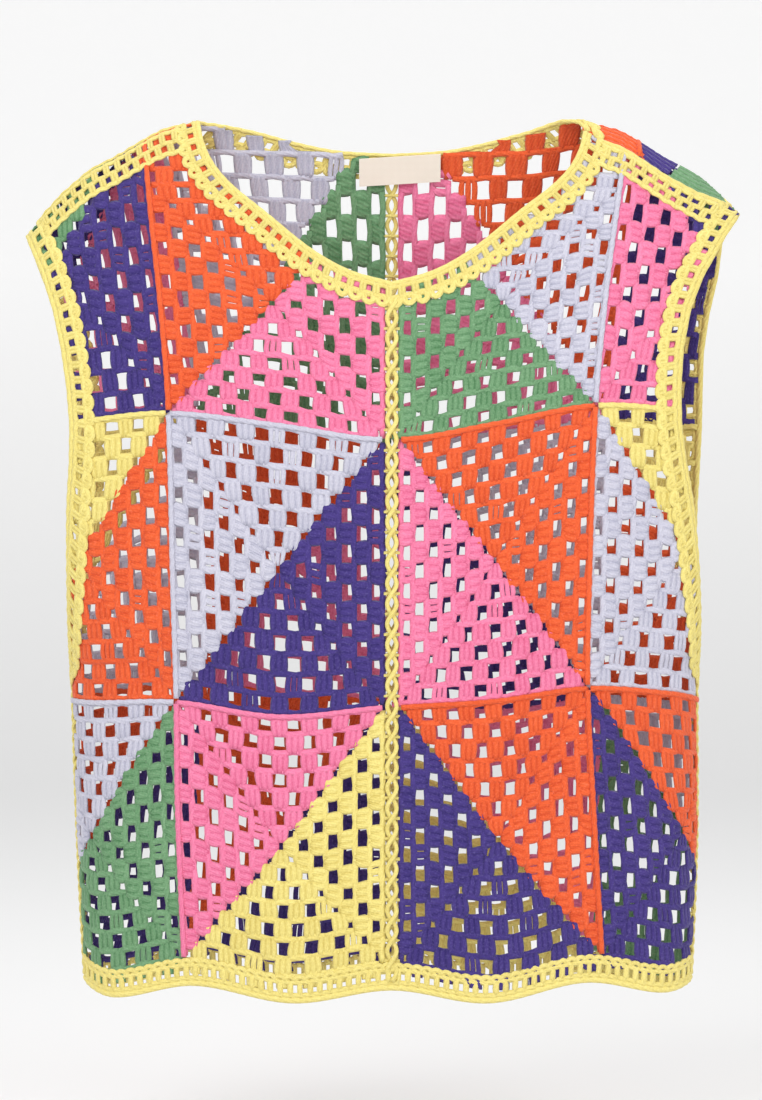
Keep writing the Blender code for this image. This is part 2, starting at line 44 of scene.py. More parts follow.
# shape of the cloth, in mm, in the same tables as the solids
cloth = {
    "shoulderLine": [(0, 2), (121, 2), (134, -1), (150, -5), (165, -13), (180, -22),
                     (197, -31), (215, -46), (227, -59), (236, -70), (262, -104)],
    # height, front left, front right, back left, back right
    "sideEdge": [(10, 268, 262, 268, 262), (-40, 254, 243, 254, 243), (-71, 241, 220, 241, 220),
                 (-100, 228, 203, 231, 216), (-140, 216, 190, 217, 208), (-200, 208, 187, 208, 206),
                 (-260, 210, 196, 208, 202), (-320, 210, 200, 210, 200), (-380, 209, 200, 209, 200),
                 (-470, 206, 200, 206, 200), (-548, 202, 197, 202, 197), (-580, 200, 195, 200, 195)],
    # height, left, right
    "columnSeam": [(10, 165, 156), (-60, 158, 147), (-120, 151, 139), (-190, 145, 132), (-300, 142, 128),
                   (-370, 140, 127), (-450, 139, 131), (-550, 135, 137), (-580, 134, 139)],
    "middleDepth": [(10, 62), (-100, 64), (-215, 66), (-380, 66), (-480, 63), (-580, 58)],
    "edgeDepth": [(10, 55), (-140, 55), (-200, 48), (-250, 39), (-290, 31), (-320, 23),
                  (-338, 16), (-348, 10), (-353, 6), (-356, 0.0), (-580, 0.0)],
    "edgeTurn": [(10, 0.95), (-140, 0.95), (-200, 0.85), (-260, 0.7), (-320, 0.55), (-356, 0.5), (-580, 0.5)],
    # place across in squares, then the heights of row lines 1 to 3
    "rowLines": [(-1.7, -200, -379, -547), (-1.45, -197, -380, -556), (-1.0, -192, -379, -547),
                 (-0.5, -200, -388, -557), (0.0, -209, -382, -549), (0.5, -199, -378, -557),
                 (1.0, -187, -370, -545), (1.45, -190, -374, -553), (1.7, -194, -379, -547)],
    # line 0, the top of the first row: inner squares, outer squares
    "topLines": {"front": (-42.0, 12.0), "back": (12.0, 12.0)},
    "frontNeck": [(0, -108), (28, -100), (54, -85), (82, -62), (104, -44), (117, -29),
                  (124, -14), (127, 0.6)],
    "backNeck": [(0, -19), (35, -17), (62, -12), (90, -5), (112, -1), (127, 0.6)],
    "squareArc": 131.0, "sidePlace": 1.7, "innerEdge": 4.86, "underarm": -356.0, "sectionPower": 2.4,
    "ridgeDepth": 210.0, "ridgePower": 0.56, "rollForward": 7.0, "rollReach": 80.0, "foldSwell": 3.0,
    "bandWidth": 16.0, "shoulderBand": 19.0, "hemBand": 16.0,
    # the back reaches over the right shoulder: distance across, how far down the front
    "shoulderShift": [(118, 0), (140, 5), (175, 8), (200, 9), (214, 5), (225, 0)],
}


def softValue(rows, column, at):
    rows = np.array(sorted(rows), float)
    places, values = rows[:, 0], rows[:, column]
    last = len(places) - 1
    at = np.clip(at, places[0], places[last])
    first = np.clip(np.searchsorted(places, at) - 1, 0, last - 1)
    before, after = np.maximum(np.arange(last + 1) - 1, 0), np.minimum(np.arange(last + 1) + 1, last)
    slopes = (values[after] - values[before]) / (places[after] - places[before])
    span = places[first + 1] - places[first]
    part = (at - places[first]) / span
    ends = values[first] * (1 + 2 * part) * (1 - part) ** 2 + values[first + 1] * part ** 2 * (3 - 2 * part)
    leans = slopes[first] * part * (1 - part) ** 2 + slopes[first + 1] * part ** 2 * (part - 1)
    return ends + leans * span


def plainValue(rows, column, at):
    rows = np.array(sorted(rows), float)
    return np.interp(at, rows[:, 0], rows[:, column])


def shoulderHeight(across):
    return softValue(cloth["shoulderLine"], 1, np.abs(across))


def gridValue(grid, row, column):
    # bilinear, and straight on past the last cell
    rowCell = np.clip(np.floor(row).astype(int), 0, grid.shape[0] - 2)
    columnCell = np.clip(np.floor(column).astype(int), 0, grid.shape[1] - 2)
    down = (row - rowCell)[..., None]
    right = (column - columnCell)[..., None]
    upper = grid[rowCell, columnCell] * (1 - right) + grid[rowCell, columnCell + 1] * right
    lower = grid[rowCell + 1, columnCell] * (1 - right) + grid[rowCell + 1, columnCell + 1] * right
    return upper * (1 - down) + lower * down


def unit(vectors):
    return vectors / np.maximum(np.linalg.norm(vectors, axis=-1, keepdims=True), 1e-9)


class Panel:
    # front or back; its own right is +run, seen from outside the garment
    def __init__(self, name, turn, neck):
        self.name, self.turn, self.neck = name, turn, neck
        self.heights = np.linspace(-600, 14, 308)
        self.shares = np.linspace(-1, 1, 361)
        self.edges = {}
        halves = [self.shellRows(hand) for hand in (-1, 1)]
        self.points = np.concatenate([halves[0][:, ::-1], halves[1][:, 1:]], axis=1)
        down, across = np.gradient(self.points, axis=(0, 1))
        self.normals = unit(np.cross(across, down))

    def sideTable(self, hand):
        return (1 if self.turn > 0 else 3) + int(hand * self.turn > 0)

    def seam(self, run, height):
        left, right = (softValue(cloth["columnSeam"], column, height) for column in (1, 2))
        return np.where(run > 0, right, left)

    def shellRows(self, hand):
        edges = softValue(cloth["sideEdge"], self.sideTable(hand), self.heights)
        seams = self.seam(hand, self.heights)
        rows, lengths = [], []
        for height, edge, seam in zip(self.heights, edges, seams):
            middle = softValue(cloth["middleDepth"], 1, height)
            rim = plainValue(cloth["edgeDepth"], 1, height)
            power = plainValue(cloth["edgeTurn"], 1, height)

            def bulge(across):
                share = np.clip(across / edge, 0, 1)
                return rim + (middle - rim) * (1 - share ** cloth["sectionPower"]) ** power

            start = math.asin(min(seam / edge, 0.98))
            wide = edge * np.sin(np.linspace(start, math.pi / 2, 28))
            arcs = np.concatenate(([0], np.cumsum(np.hypot(np.diff(wide), np.diff(bulge(wide))))))
            lengths.append(seam + arcs[-1])
            runs = np.linspace(0, 1, 181) * lengths[-1]
            across = np.where(runs <= seam, runs, np.interp(runs - seam, arcs, wide))
            top = shoulderHeight(across)
            worldRight = hand * across * self.turn
            rolled = np.clip((worldRight - 90) / 50, 0, 1) * np.clip((222 - worldRight) / 27, 0, 1)
            drop = top - height
            rolled = rolled * np.maximum(1 - np.abs(drop) / cloth["rollReach"], 0)
            drop = drop + self.turn * cloth["rollForward"] * rolled
            share = np.minimum(np.abs(drop) / cloth["ridgeDepth"], 1) ** cloth["ridgePower"]
            depth = np.sign(drop) * share * bulge(across)
            inner = cloth["innerEdge"]
            square = np.where(runs <= seam, np.maximum(runs - inner, 0) / (seam - inner),
                              1 + (runs - seam) / cloth["squareArc"])
            low = min(max((-height - 240) / 300, 0), 1)
            depth -= cloth["foldSwell"] * low * np.minimum(np.abs(depth) / 30, 1) * np.cos(2 * np.pi * square)
            rows.append(np.stack([worldRight, -self.turn * depth, top - np.abs(drop)], axis=-1))
        self.edges[hand] = np.array(lengths)
        return np.array(rows)

    def edgeRun(self, run, height):
        left, right = (np.interp(height, self.heights, self.edges[hand]) for hand in (-1, 1))
        return np.where(run > 0, right, left)

    def place(self, run, height, out=0.0):
        # position and outward normal, in mm
        share = run / self.edgeRun(run, height)
        row = (height - self.heights[0]) / (self.heights[1] - self.heights[0])
        column = (share + 1) / (self.shares[1] - self.shares[0])
        normal = unit(gridValue(self.normals, row, np.clip(column, 0, len(self.shares) - 1)))
        return gridValue(self.points, row, column) + normal * np.asarray(out)[..., None], normal


front = Panel("front", 1, cloth["frontNeck"])
back = Panel("back", -1, cloth["backNeck"])


def rowHeight(place, line, top=0.0):
    at = np.clip(place, -cloth["sidePlace"], cloth["sidePlace"])
    lines = np.stack([np.full(at.shape, top)]
                     + [softValue(cloth["rowLines"], 1 + index, at) for index in range(3)])
    cell = np.clip(np.floor(line), 0, 2).astype(int)
    low = np.take_along_axis(lines, cell[None], 0)[0]
    high = np.take_along_axis(lines, cell[None] + 1, 0)[0]
    return low + (line - cell) * (high - low)


def squareToCloth(panel, place, line, column=0):
    place, line = np.broadcast_arrays(np.asarray(place, float), np.asarray(line, float))
    height = rowHeight(place, line, cloth["topLines"][panel.name][column])
    seam = panel.seam(place, height)
    inner = cloth["innerEdge"]
    near = inner + np.abs(place) * (seam - inner)
    far = seam + (np.abs(place) - 1) * cloth["squareArc"]
    return np.sign(place) * np.where(np.abs(place) <= 1, near, far), height


def evenLine(line, count):
    length = np.concatenate(([0], np.cumsum(np.hypot(*np.diff(line, axis=0).T))))
    at = np.linspace(0, length[-1], count)
    return np.column_stack([np.interp(at, length, line[:, 0]), np.interp(at, length, line[:, 1])])


def offsetLine(line, distance):
    ahead = unit(np.diff(line, axis=0))
    left = np.column_stack([-ahead[:, 1], ahead[:, 0]])
    normals = unit(np.vstack([left[:1], left[:-1] + left[1:], left[-1:]]))
    scale = 1 / np.clip(np.sum(normals * np.vstack([left[:1], left]), axis=1), 0.6, 1)
    scale[0] = scale[-1] = 1
    return line + normals * (distance * scale)[:, None]


def seamDrop(panel, across, drop):
    return drop + panel.turn * np.interp(across, *np.array(cloth["shoulderShift"], float).T)


def trimToDrop(panel, line, drop, count):
    line = evenLine(line, 500)
    across = panel.place(line[:, 0], line[:, 1])[0][:, 0]
    passed = np.nonzero(shoulderHeight(across) - line[:, 1] <= seamDrop(panel, across, drop))[0]
    return evenLine(line[:passed[0] + 1] if len(passed) else line, count)


def neckEdge(panel, hand, outward, drop, count=60):
    table = np.array(panel.neck, float)
    spots = np.linspace(0, 1, len(table))
    along = np.linspace(0, 1, 33)
    line = np.column_stack([softValue(list(zip(spots, table[:, column])), 1, along) for column in (0, 1)])
    moved = offsetLine(line, -outward)
    ridge = line[-1][0] + outward
    moved = np.vstack([moved, (ridge, shoulderHeight(ridge) + 9)])
    moved[0] = (0, line[0][1] - outward)
    return trimToDrop(panel, moved * (hand, 1), drop, count)


def armEdge(panel, hand, inward, drop, count=90):
    low = [cloth["underarm"], -353, -348, -338, -320, -300, -275]
    heights = np.array(low + list(np.arange(-250, 1, 25.0)))
    line = np.column_stack([panel.edgeRun(hand, heights), heights])[::-1]
    moved = offsetLine(line, -inward)
    moved[-1] = (line[-1][0], line[-1][1] - inward)
    return trimToDrop(panel, moved[::-1] * (hand, 1), drop, count)


def heightAtDrop(panel, run, drop):
    height = np.full_like(run, -30.0)
    for _ in range(12):
        across = panel.place(run, height)[0][..., 0]
        height = shoulderHeight(across) - seamDrop(panel, across, drop)
    return height


def halfOutline(panel, hand, under):
    # edge of one half's squares, which run on under the edging; under is how far in from the opening
    drop = 1.0
    neck = neckEdge(panel, hand, under, drop)
    arm = armEdge(panel, hand, under, drop)
    runs = np.linspace(neck[-1][0], arm[-1][0], 12)[1:-1]
    ridge = np.column_stack([runs, heightAtDrop(panel, runs, drop)])
    side = np.linspace(cloth["underarm"] - under, -575, 12)
    sideLine = np.column_stack([hand * (panel.edgeRun(hand, side) - 1.2), side])
    places = hand * np.linspace(cloth["sidePlace"] - 0.1, 0, 24)
    runs, heights = squareToCloth(panel, places, np.full(24, 3.0))
    foot = np.column_stack([runs, heights - 8.5])
    return np.vstack([[(0.0, neck[0][1])], neck, ridge, arm[::-1], sideLine, foot, [(0.0, foot[-1][1])]])


# the points of that outline along the top: with its ends, and for the roll
crestPart, ridgePart = slice(59, 74), slice(60, 72)


def insideLine(points, outline):
    inside = np.zeros(points.shape[:-1], bool)
    for before, after in zip(outline, np.roll(outline, -1, axis=0)):
        crosses = (before[1] > points[..., 1]) != (after[1] > points[..., 1])
        rise = after[1] - before[1] if after[1] != before[1] else 1e-9
        reach = before[0] + (points[..., 1] - before[1]) / rise * (after[0] - before[0])
        inside ^= crosses & (points[..., 0] < reach)
    return inside


# yarn: every stitch is a closed tube with its own run of the twist
def roundProfile(sides):
    angles = 2 * np.pi * (np.arange(sides) + 0.5) / sides
    return np.column_stack([np.cos(angles) / math.cos(math.pi / sides), np.sin(angles), np.zeros(sides)])


def ribProfile(ribs):
    # outline of posts that lie side by side and have grown together, from -1 to 1 across
    top, under = [(-1.0, 0.0, 0.4)], []
    for rib in range(ribs):
        middle = (2 * rib + 1) / ribs - 1
        if rib:
            top.append((middle - 1 / ribs, 0.5, 1.0))
            under.append((middle - 1 / ribs, -0.6, 1.0))
        top += [(middle - 0.42 / ribs, 1.0, 0.0), (middle + 0.42 / ribs, 1.0, 0.0)]
        under.append((middle, -1.0, 0.0))
    # anticlockwise, as the round profile; the last value is how much painted shade each point gets, most in
    # the hollows between posts
    return np.array([(1.0, 0.0, 0.4)] + top[:0:-1] + top[:1] + under)


def yarnTubes(centres, normals, widths, thicks, profile=6, tone=None, closed=False, across=None,
              ends=0.0):
    # centres and normals are (tubes, points, 3), in mm
    # ends adds painted shade at each point along the tubes
    profile = roundProfile(profile) if isinstance(profile, int) else profile
    if closed:
        along = unit(np.roll(centres, -1, axis=1) - np.roll(centres, 1, axis=1))
    else:
        along = unit(np.gradient(centres, axis=1))
    if across is None:
        across = unit(np.cross(along, normals))
        up = np.cross(across, along)
    else:
        across = across * np.where(np.sum(np.cross(along, normals) * across, axis=-1) < 0, -1, 1)[..., None]
        up = normals
    ring = (across[:, :, None] * (profile[:, :1] * np.asarray(widths)[..., None, None] / 2)
            + up[:, :, None] * (profile[:, 1:2] * np.asarray(thicks)[..., None, None] / 2))
    steps = np.linalg.norm(np.diff(centres, axis=1), axis=-1)
    length = np.concatenate([np.zeros((len(centres), 1)), np.cumsum(steps, axis=1)], axis=1)
    if tone is None:
        tone = rng.random(len(centres))
    # each point carries a painted shade amount: from the profile's hollows, plus the ends along the tube
    return {"points": centres[:, :, None] + ring, "length": length, "tone": tone, "closed": closed,
            "turns": max(len(profile) // 5, 1),
            "grooveShade": np.zeros((centres.shape[1], 1)) + profile[:, 2] + ends}


def newObject(name, data):
    made = bpy.data.objects.new(name, data)
    bpy.context.scene.collection.objects.link(made)
    return made


def makePiece(name, batches, material):
    places, uvs, tones, grooveShades, loops, totals = [], [], [], [], [], []
    first = 0
    for batch in batches:
        tubes, count, sides = batch["points"].shape[:3]
        if not tubes:
            continue
        index = first + np.arange(tubes * count * sides).reshape(tubes, count, sides)
        first += index.size
        places.append(batch["points"].reshape(-1, 3))
        tones.append(np.repeat(batch["tone"], count * sides))
        grooveShades.append(np.tile(batch["grooveShade"].ravel(), tubes))
        turned = np.roll(index, -1, axis=2)
        ahead = np.roll(index, -1, axis=1)
        aheadTurned = np.roll(turned, -1, axis=1)
        spans = count if batch["closed"] else count - 1
        quads = np.stack([index, ahead, aheadTurned, turned], axis=-1)[:, :spans].reshape(-1, 4)
        around = np.broadcast_to(np.arange(sides) / sides * batch["turns"], (tubes, spans, sides))
        turnStep = batch["turns"] / sides
        start = batch["length"][:, :spans, None]
        end = batch["length"][:, 1:spans + 1, None]
        if batch["closed"]:
            end = np.concatenate([end, start[:, -1:] + 1.0], axis=1)
        start, end = (np.broadcast_to(value, around.shape) for value in (start, end))
        later = around + turnStep
        pairs = ((around, start), (around, end), (later, end), (later, start))
        quadUv = np.stack([np.stack(pair, -1) for pair in pairs], axis=3)
        loops.append(quads.ravel())
        uvs.append(quadUv.reshape(-1, 2))
        totals.append(np.full(len(quads), 4))
        if not batch["closed"]:
            for caps, at in ((index[:, 0], 0), (index[:, -1, ::-1], -1)):
                loops.append(caps.ravel())
                length = np.repeat(batch["length"][:, at], sides)
                uvs.append(np.stack([np.full(caps.size, 0.5), length], axis=-1))
                totals.append(np.full(tubes, sides))
    mesh = bpy.data.meshes.new(name)
    corners, totals = np.concatenate(loops), np.concatenate(totals)
    mesh.vertices.add(first)
    mesh.vertices.foreach_set("co", (np.concatenate(places) * mm).ravel())
    mesh.loops.add(len(corners))
    mesh.loops.foreach_set("vertex_index", corners.astype(np.int32))
    mesh.polygons.add(len(totals))
    mesh.polygons.foreach_set("loop_start", np.concatenate(([0], np.cumsum(totals)[:-1])).astype(np.int32))
    mesh.polygons.foreach_set("loop_total", totals.astype(np.int32))
    mesh.update(calc_edges=True)
    mesh.uv_layers.new(name="yarnRun").data.foreach_set("uv", np.concatenate(uvs).ravel())
    # the random tone is the yarn's own colour; the other value is painted shade, by which the material
    # darkens the colour
    for title, values in (("stitchTone", tones), ("stitchGroove", grooveShades)):
        mesh.attributes.new(title, "FLOAT", "POINT").data.foreach_set("value", np.concatenate(values))
    mesh.shade_smooth()
    mesh.materials.append(material)
    piece = newObject(name, mesh)
    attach(piece, "root")
    return piece


# materials
def newGroup(name, inputs, outputs):
    group = bpy.data.node_groups.new(name, "ShaderNodeTree")
    for socket, kind, value in inputs:
        made = group.interface.new_socket(name=socket, in_out="INPUT", socket_type=kind)
        if value is not None:
            made.default_value = value
    for socket, kind in outputs:
        group.interface.new_socket(name=socket, in_out="OUTPUT", socket_type=kind)
    return group, group.nodes.new("NodeGroupInput"), group.nodes.new("NodeGroupOutput")


def mathNode(tree, operation, *values):
    node = tree.nodes.new("ShaderNodeMath")
    node.operation = operation
    for index, value in enumerate(values):
        if isinstance(value, (int, float)):
            node.inputs[index].default_value = value
        else:
            tree.links.new(value, node.inputs[index])
    return node.outputs[0]


def mixColour(tree, blend, amount, first, second):
    node = tree.nodes.new("ShaderNodeMix")
    node.data_type, node.blend_type = "RGBA", blend
    for socket, value in ((0, amount), (6, first), (7, second)):
        if isinstance(value, bpy.types.NodeSocket):
            tree.links.new(value, node.inputs[socket])
        else:
            node.inputs[socket].default_value = value
    return node.outputs[2]


def newMaterial(name):
    material = bpy.data.materials.new(name)
    material.use_nodes = True
    return material, material.node_tree, material.node_tree.nodes["Principled BSDF"]


def addBump(tree, shader, height, strength, distance):
    bump = tree.nodes.new("ShaderNodeBump")
    bump.inputs["Strength"].default_value = strength
    bump.inputs["Distance"].default_value = distance
    tree.links.new(height, bump.inputs["Height"])
    tree.links.new(bump.outputs[0], shader.inputs["Normal"])


def yarnPlyGroup():
    # ridges of the twisted strands, which wind along each stitch
    inputs = [("Strands", "NodeSocketFloat", 5.0), ("Pitch", "NodeSocketFloat", 7.0)]
    group, given, result = newGroup("yarnPly", inputs, [("Height", "NodeSocketFloat")])
    uv = group.nodes.new("ShaderNodeUVMap")
    uv.uv_map = "yarnRun"
    split = group.nodes.new("ShaderNodeSeparateXYZ")
    group.links.new(uv.outputs[0], split.inputs[0])
    turns = mathNode(group, "MULTIPLY", split.outputs[0], given.outputs["Strands"])
    wound = mathNode(group, "DIVIDE", split.outputs[1], given.outputs["Pitch"])
    angle = mathNode(group, "MULTIPLY", mathNode(group, "ADD", turns, wound), 2 * math.pi)
    wave = mathNode(group, "SINE", angle)
    group.links.new(mathNode(group, "MULTIPLY_ADD", wave, 0.5, 0.5), result.inputs["Height"])
    return group


def yarnFuzzGroup():
    # short loose fibres and small uneven spots in the dye
    inputs = [("Fibre size", "NodeSocketFloat", 800.0), ("Spot size", "NodeSocketFloat", 120.0)]
    outputs = [("Fibre", "NodeSocketFloat"), ("Spot", "NodeSocketFloat")]
    group, given, result = newGroup("yarnFuzz", inputs, outputs)
    where = group.nodes.new("ShaderNodeTexCoord")
    for socket, size, detail in (("Fibre", "Fibre size", 4.0), ("Spot", "Spot size", 2.0)):
        noise = group.nodes.new("ShaderNodeTexNoise")
        noise.inputs["Detail"].default_value = detail
        group.links.new(where.outputs["Object"], noise.inputs["Vector"])
        group.links.new(given.outputs[size], noise.inputs["Scale"])
        group.links.new(noise.outputs[0], result.inputs[socket])
    return group


plyGroup = yarnPlyGroup()
fuzzGroup = yarnFuzzGroup()

# deep is the darker end of each yarn, reached through its own uneven tone and dye spots and through painted
# shade
yarnLooks = {
    "orange": {"base": (0.84, 0.132, 0.037), "deep": (0.58, 0.056, 0.014)},
    "pink": {"base": (0.87, 0.242, 0.41), "deep": (0.66, 0.1, 0.22)},
    "navy": {"base": (0.068, 0.044, 0.23), "deep": (0.022, 0.013, 0.11)},
    "lavender": {"base": (0.6, 0.59, 0.68), "deep": (0.37, 0.37, 0.48)},
    "green": {"base": (0.19, 0.36, 0.19), "deep": (0.06, 0.18, 0.07)},
    "yellow": {"base": (0.85, 0.735, 0.25), "deep": (0.62, 0.48, 0.11)},
}


# how much each one darkens the yarn: tone, spot and fibre are the yarn's own uneven dye, while ply and the
# hollows between posts are painted shade
yarnShade = {"ply": 0.12, "tone": 0.22, "spot": 0.2, "grooveShade": 0.42, "fibre": 1.1}


def yarnMaterial(name, look):
    material, tree, shader = newMaterial(name + "Yarn")
    ply = tree.nodes.new("ShaderNodeGroup")
    ply.node_tree = plyGroup
    fuzz = tree.nodes.new("ShaderNodeGroup")
    fuzz.node_tree = fuzzGroup
    tone = tree.nodes.new("ShaderNodeAttribute")
    tone.attribute_name = "stitchTone"
    grooveShade = tree.nodes.new("ShaderNodeAttribute")
    grooveShade.attribute_name = "stitchGroove"
    # painted shade: the hollows of the twist and the hollows between posts are darkened in the colour, on top
    # of the yarn's own tone and dye spots
    plyHollowShade = mathNode(tree, "SUBTRACT", 1.0, ply.outputs["Height"])
    shade = mathNode(tree, "MULTIPLY", plyHollowShade, yarnShade["ply"])
    for source, part in ((tone.outputs["Fac"], "tone"), (fuzz.outputs["Spot"], "spot"),
                         (grooveShade.outputs["Fac"], "grooveShade")):
        shade = mathNode(tree, "ADD", shade, mathNode(tree, "MULTIPLY", source, yarnShade[part]))
    fibre = mathNode(tree, "SUBTRACT", fuzz.outputs["Fibre"], 0.5)
    speckle = mathNode(tree, "MULTIPLY", fibre, yarnShade["fibre"])
    shade = mathNode(tree, "SUBTRACT", shade, speckle)
    body = mixColour(tree, "MIX", shade, (*look["base"], 1), (*look["deep"], 1))
    fleck = mathNode(tree, "MULTIPLY", mathNode(tree, "SUBTRACT", fuzz.outputs["Fibre"], 0.55), 0.5)
    pale = tuple(value * 0.6 + 0.4 for value in look["base"])
    node = mathNode(tree, "MAXIMUM", fleck, 0.0)
    tree.links.new(mixColour(tree, "MIX", node, body, (*pale, 1)), shader.inputs["Base Color"])
    rough = mathNode(tree, "MULTIPLY_ADD", fuzz.outputs["Fibre"], 0.15, 0.8)
    tree.links.new(rough, shader.inputs["Roughness"])
    shader.inputs["Sheen Weight"].default_value = 0.18
    shader.inputs["Sheen Roughness"].default_value = 0.5
    shader.inputs["Specular IOR Level"].default_value = 0.2
    relief = mathNode(tree, "MULTIPLY_ADD", fuzz.outputs["Fibre"], 0.5, ply.outputs["Height"])
    addBump(tree, shader, relief, 0.45, 0.0006)
    return material


yarns = {name: yarnMaterial(name, look) for name, look in yarnLooks.items()}
print("yarns made")

# granny squares: seven rounds of three-post clusters, with a gap after each
squareStyle = {
    "rounds": 7, "clusterShare": 0.585, "postThick": 2.45, "extraRows": 4,
    "loopWide": 4.2, "loopThick": 2.0, "loopShort": 0.03, "cornerIn": 0.1, "cornerFoot": 0.18,
    # along each cluster: place from the round's inner edge, width, thickness and lift
    "along": (-0.06, 0.16, 0.42, 0.68, 0.9, 1.04),
    "spread": (0.8, 0.97, 1.03, 1.05, 1.0, 0.86),
    "full": (0.62, 0.92, 1.0, 1.0, 0.9, 0.6),
    "lift": (0.0, 0.35, 0.55, 0.55, 0.35, 0.0),
    # ends: painted shade at each place along a cluster, darkest at its ends, where it meets the loops
    "ends": np.array([[0.7], [0.15], [0.0], [0.0], [0.1], [0.5]]),
    "looseShare": 0.12,
    "lengths": (3.0, 30.0), "widths": (2.5, 30.0),  # clusters past these are left out
    "unitAcross": 65.5, "unitDown": 88.0,  # mm of cloth in one unit outward
    "colours": [  # outer top half, inner bottom half
        [("green", "navy"), ("orange", "pink"), ("lavender", "green"), ("navy", "pink")],
        [("yellow", "orange"), ("lavender", "navy"), ("orange", "pink"), ("yellow", "lavender")],
        [("lavender", "green"), ("pink", "yellow"), ("orange", "navy"), ("orange", "navy")],
    ],
}
clusterProfile = ribProfile(3)
sideTurns = {"top": ((0, -1), (1, 0)), "outer": ((1, 0), (0, 1)),
             "bottom": ((0, 1), (1, 0)), "inner": ((-1, 0), (0, 1))}


def onSide(side, along, reach):
    # place on a square, -1 to 1 from its inner top corner, at a distance along one side of a round
    (outX, outY), (alongX, alongY) = sideTurns[side]
    return along * alongX + reach * outX, along * alongY + reach * outY


def localToCloth(panel, hand, column, row, x, y):
    return squareToCloth(panel, hand * (column + (x + 1) / 2), row + (y + 1) / 2, column)


def squareClusters(panel, hand, column, row, sides, outline):
    style = squareStyle
    rounds = style["rounds"]
    half = style["clusterShare"] / rounds
    xs, ys, widths, fulls, tones = [], [], [], [], []
    along, spread = np.array(style["along"]), np.array(style["spread"])
    for side in sides:
        extra = extraRows(panel, side, row, column)
        for ringIndex in range(1, rounds + 1 + extra):
            # rows past the seventh round fill up to the neck and the shoulder
            clusters = ringIndex if ringIndex <= rounds else rounds + ringIndex % 2
            for cluster in range(clusters):
                middle = (-clusters + 1 + 2 * cluster) / rounds
                foot = middle
                corner = cluster in (0, clusters - 1) and clusters == ringIndex > 1
                if corner:
                    # both sides' last clusters stand in the hole at the corner of the round before
                    middle -= math.copysign(style["cornerIn"] / rounds, middle)
                    foot -= math.copysign(style["cornerFoot"] / rounds, foot)
                middle += rng.normal(0, 0.008)
                plump = rng.normal(1, 0.06)
                start = max((ringIndex - 1) / rounds, 0.03)
                reach = start + along * (ringIndex / rounds - start) + rng.normal(0, 0.006)
                if ringIndex == 1:
                    shape = spread * np.array((0.6, 0.75, 0.88, 0.96, 1.0, 1.0))
                else:
                    shape = spread * (np.array((0.95, 1.02, 1.02, 1, 0.95, 0.85)) if corner else 1)
                lean = foot + (middle - foot) * np.clip(along * 1.6, 0, 1)
                half2 = half * plump * shape
                lines = [onSide(side, lean + turn * half2, reach) for turn in (-1, 0, 1)]
                xs.append([line[0] for line in lines])
                ys.append([line[1] for line in lines])
                fulls.append(np.array(style["full"]) * rng.normal(1, 0.06))
                tones.append(rng.random())
    runs, heights = localToCloth(panel, hand, column, row, np.array(xs), np.array(ys))
    inside = insideLine(np.stack([runs, heights], axis=-1), outline)
    middle = inside[:, 1]
    kept = middle[:, 2:4].any(axis=1) & (inside.sum(axis=(1, 2)) > 6)
    kept &= np.abs(runs).max(axis=(1, 2)) > 2.0
    kept &= ~underRoll(panel, hand, row, runs[:, 1].mean(axis=1), heights[:, 1].mean(axis=1), outline)
    runs, heights, inside = runs[kept], heights[kept], inside[kept]
    fulls, tones = np.array(fulls)[kept], np.array(tones)[kept]
    # what lies past the cloth's edge is drawn back to it
    for _ in range(2):
        for past, near in ((0, 1), (2, 1)):
            out = ~inside[:, past] & inside[:, near]
            for values in (runs, heights):
                edge = values[:, near][out]
                values[:, past][out] = edge + 0.35 * (values[:, past][out] - edge)
    steps = inside.shape[2]
    for order, back in ((range(steps // 2 - 1, -1, -1), 1), (range(steps // 2, steps), -1)):
        for step in order:
            out = ~inside[:, 1, step]
            for values in (runs, heights):
                near = values[:, :, step + back]
                values[:, :, step][out] = near[out] + 0.15 * (values[:, :, step][out] - near[out])
    lift = np.array(style["lift"]) + rng.normal(0, 0.12, (len(runs), 1))
    left, centres, right = (panel.place(runs[:, part], heights[:, part], lift)[0] for part in range(3))
    normals = panel.place(runs[:, 1], heights[:, 1])[1]
    across = unit(right - left)
    normals = unit(normals - across * np.sum(normals * across, axis=-1, keepdims=True))
    widths = np.linalg.norm(right - left, axis=-1)
    centres = (left + right) / 2
    length = np.linalg.norm(centres[:, -1] - centres[:, 0], axis=-1)
    whole = np.ones(len(length), bool)
    for values, (least, most) in ((length, style["lengths"]), (widths.max(axis=1), style["widths"])):
        whole &= (values > least) & (values < most)
    centres, normals, widths, across, fulls, tones = (values[whole] for values in
                                                      (centres, normals, widths, across, fulls, tones))
    # some clusters stay open between their posts
    loose = rng.random(len(centres)) < style["looseShare"]
    tight = ~loose
    batches = [yarnTubes(centres[tight], normals[tight], widths[tight], style["postThick"] * fulls[tight],
                         clusterProfile, tones[tight], across=across[tight], ends=style["ends"])]
    for post in (-1, 0, 1):
        moved = centres[loose] + across[loose] * (widths[loose] * post / 3)[..., None]
        thick = style["postThick"] * 0.8 * fulls[loose]
        batches.append(yarnTubes(moved, normals[loose], widths[loose] * 0.29, thick, 6, tones[loose],
                                 across=across[loose]))
    return batches


def extraRows(panel, side, row, column):
    if (side, row) == ("bottom", 2):
        return 1  # behind the hem's edging
    return squareStyle["extraRows"] if (side, row, column, panel.name) == ("top", 0, 0, "front") else 0


def cutRuns(inside):
    # stretches of neighbouring points that lie on the cloth
    runs, start = [], None
    for index, value in enumerate(list(inside) + [False]):
        if value and start is None:
            start = index
        elif not value and start is not None:
            if index - start > 3:
                runs.append((start, index))
            start = None
    return runs


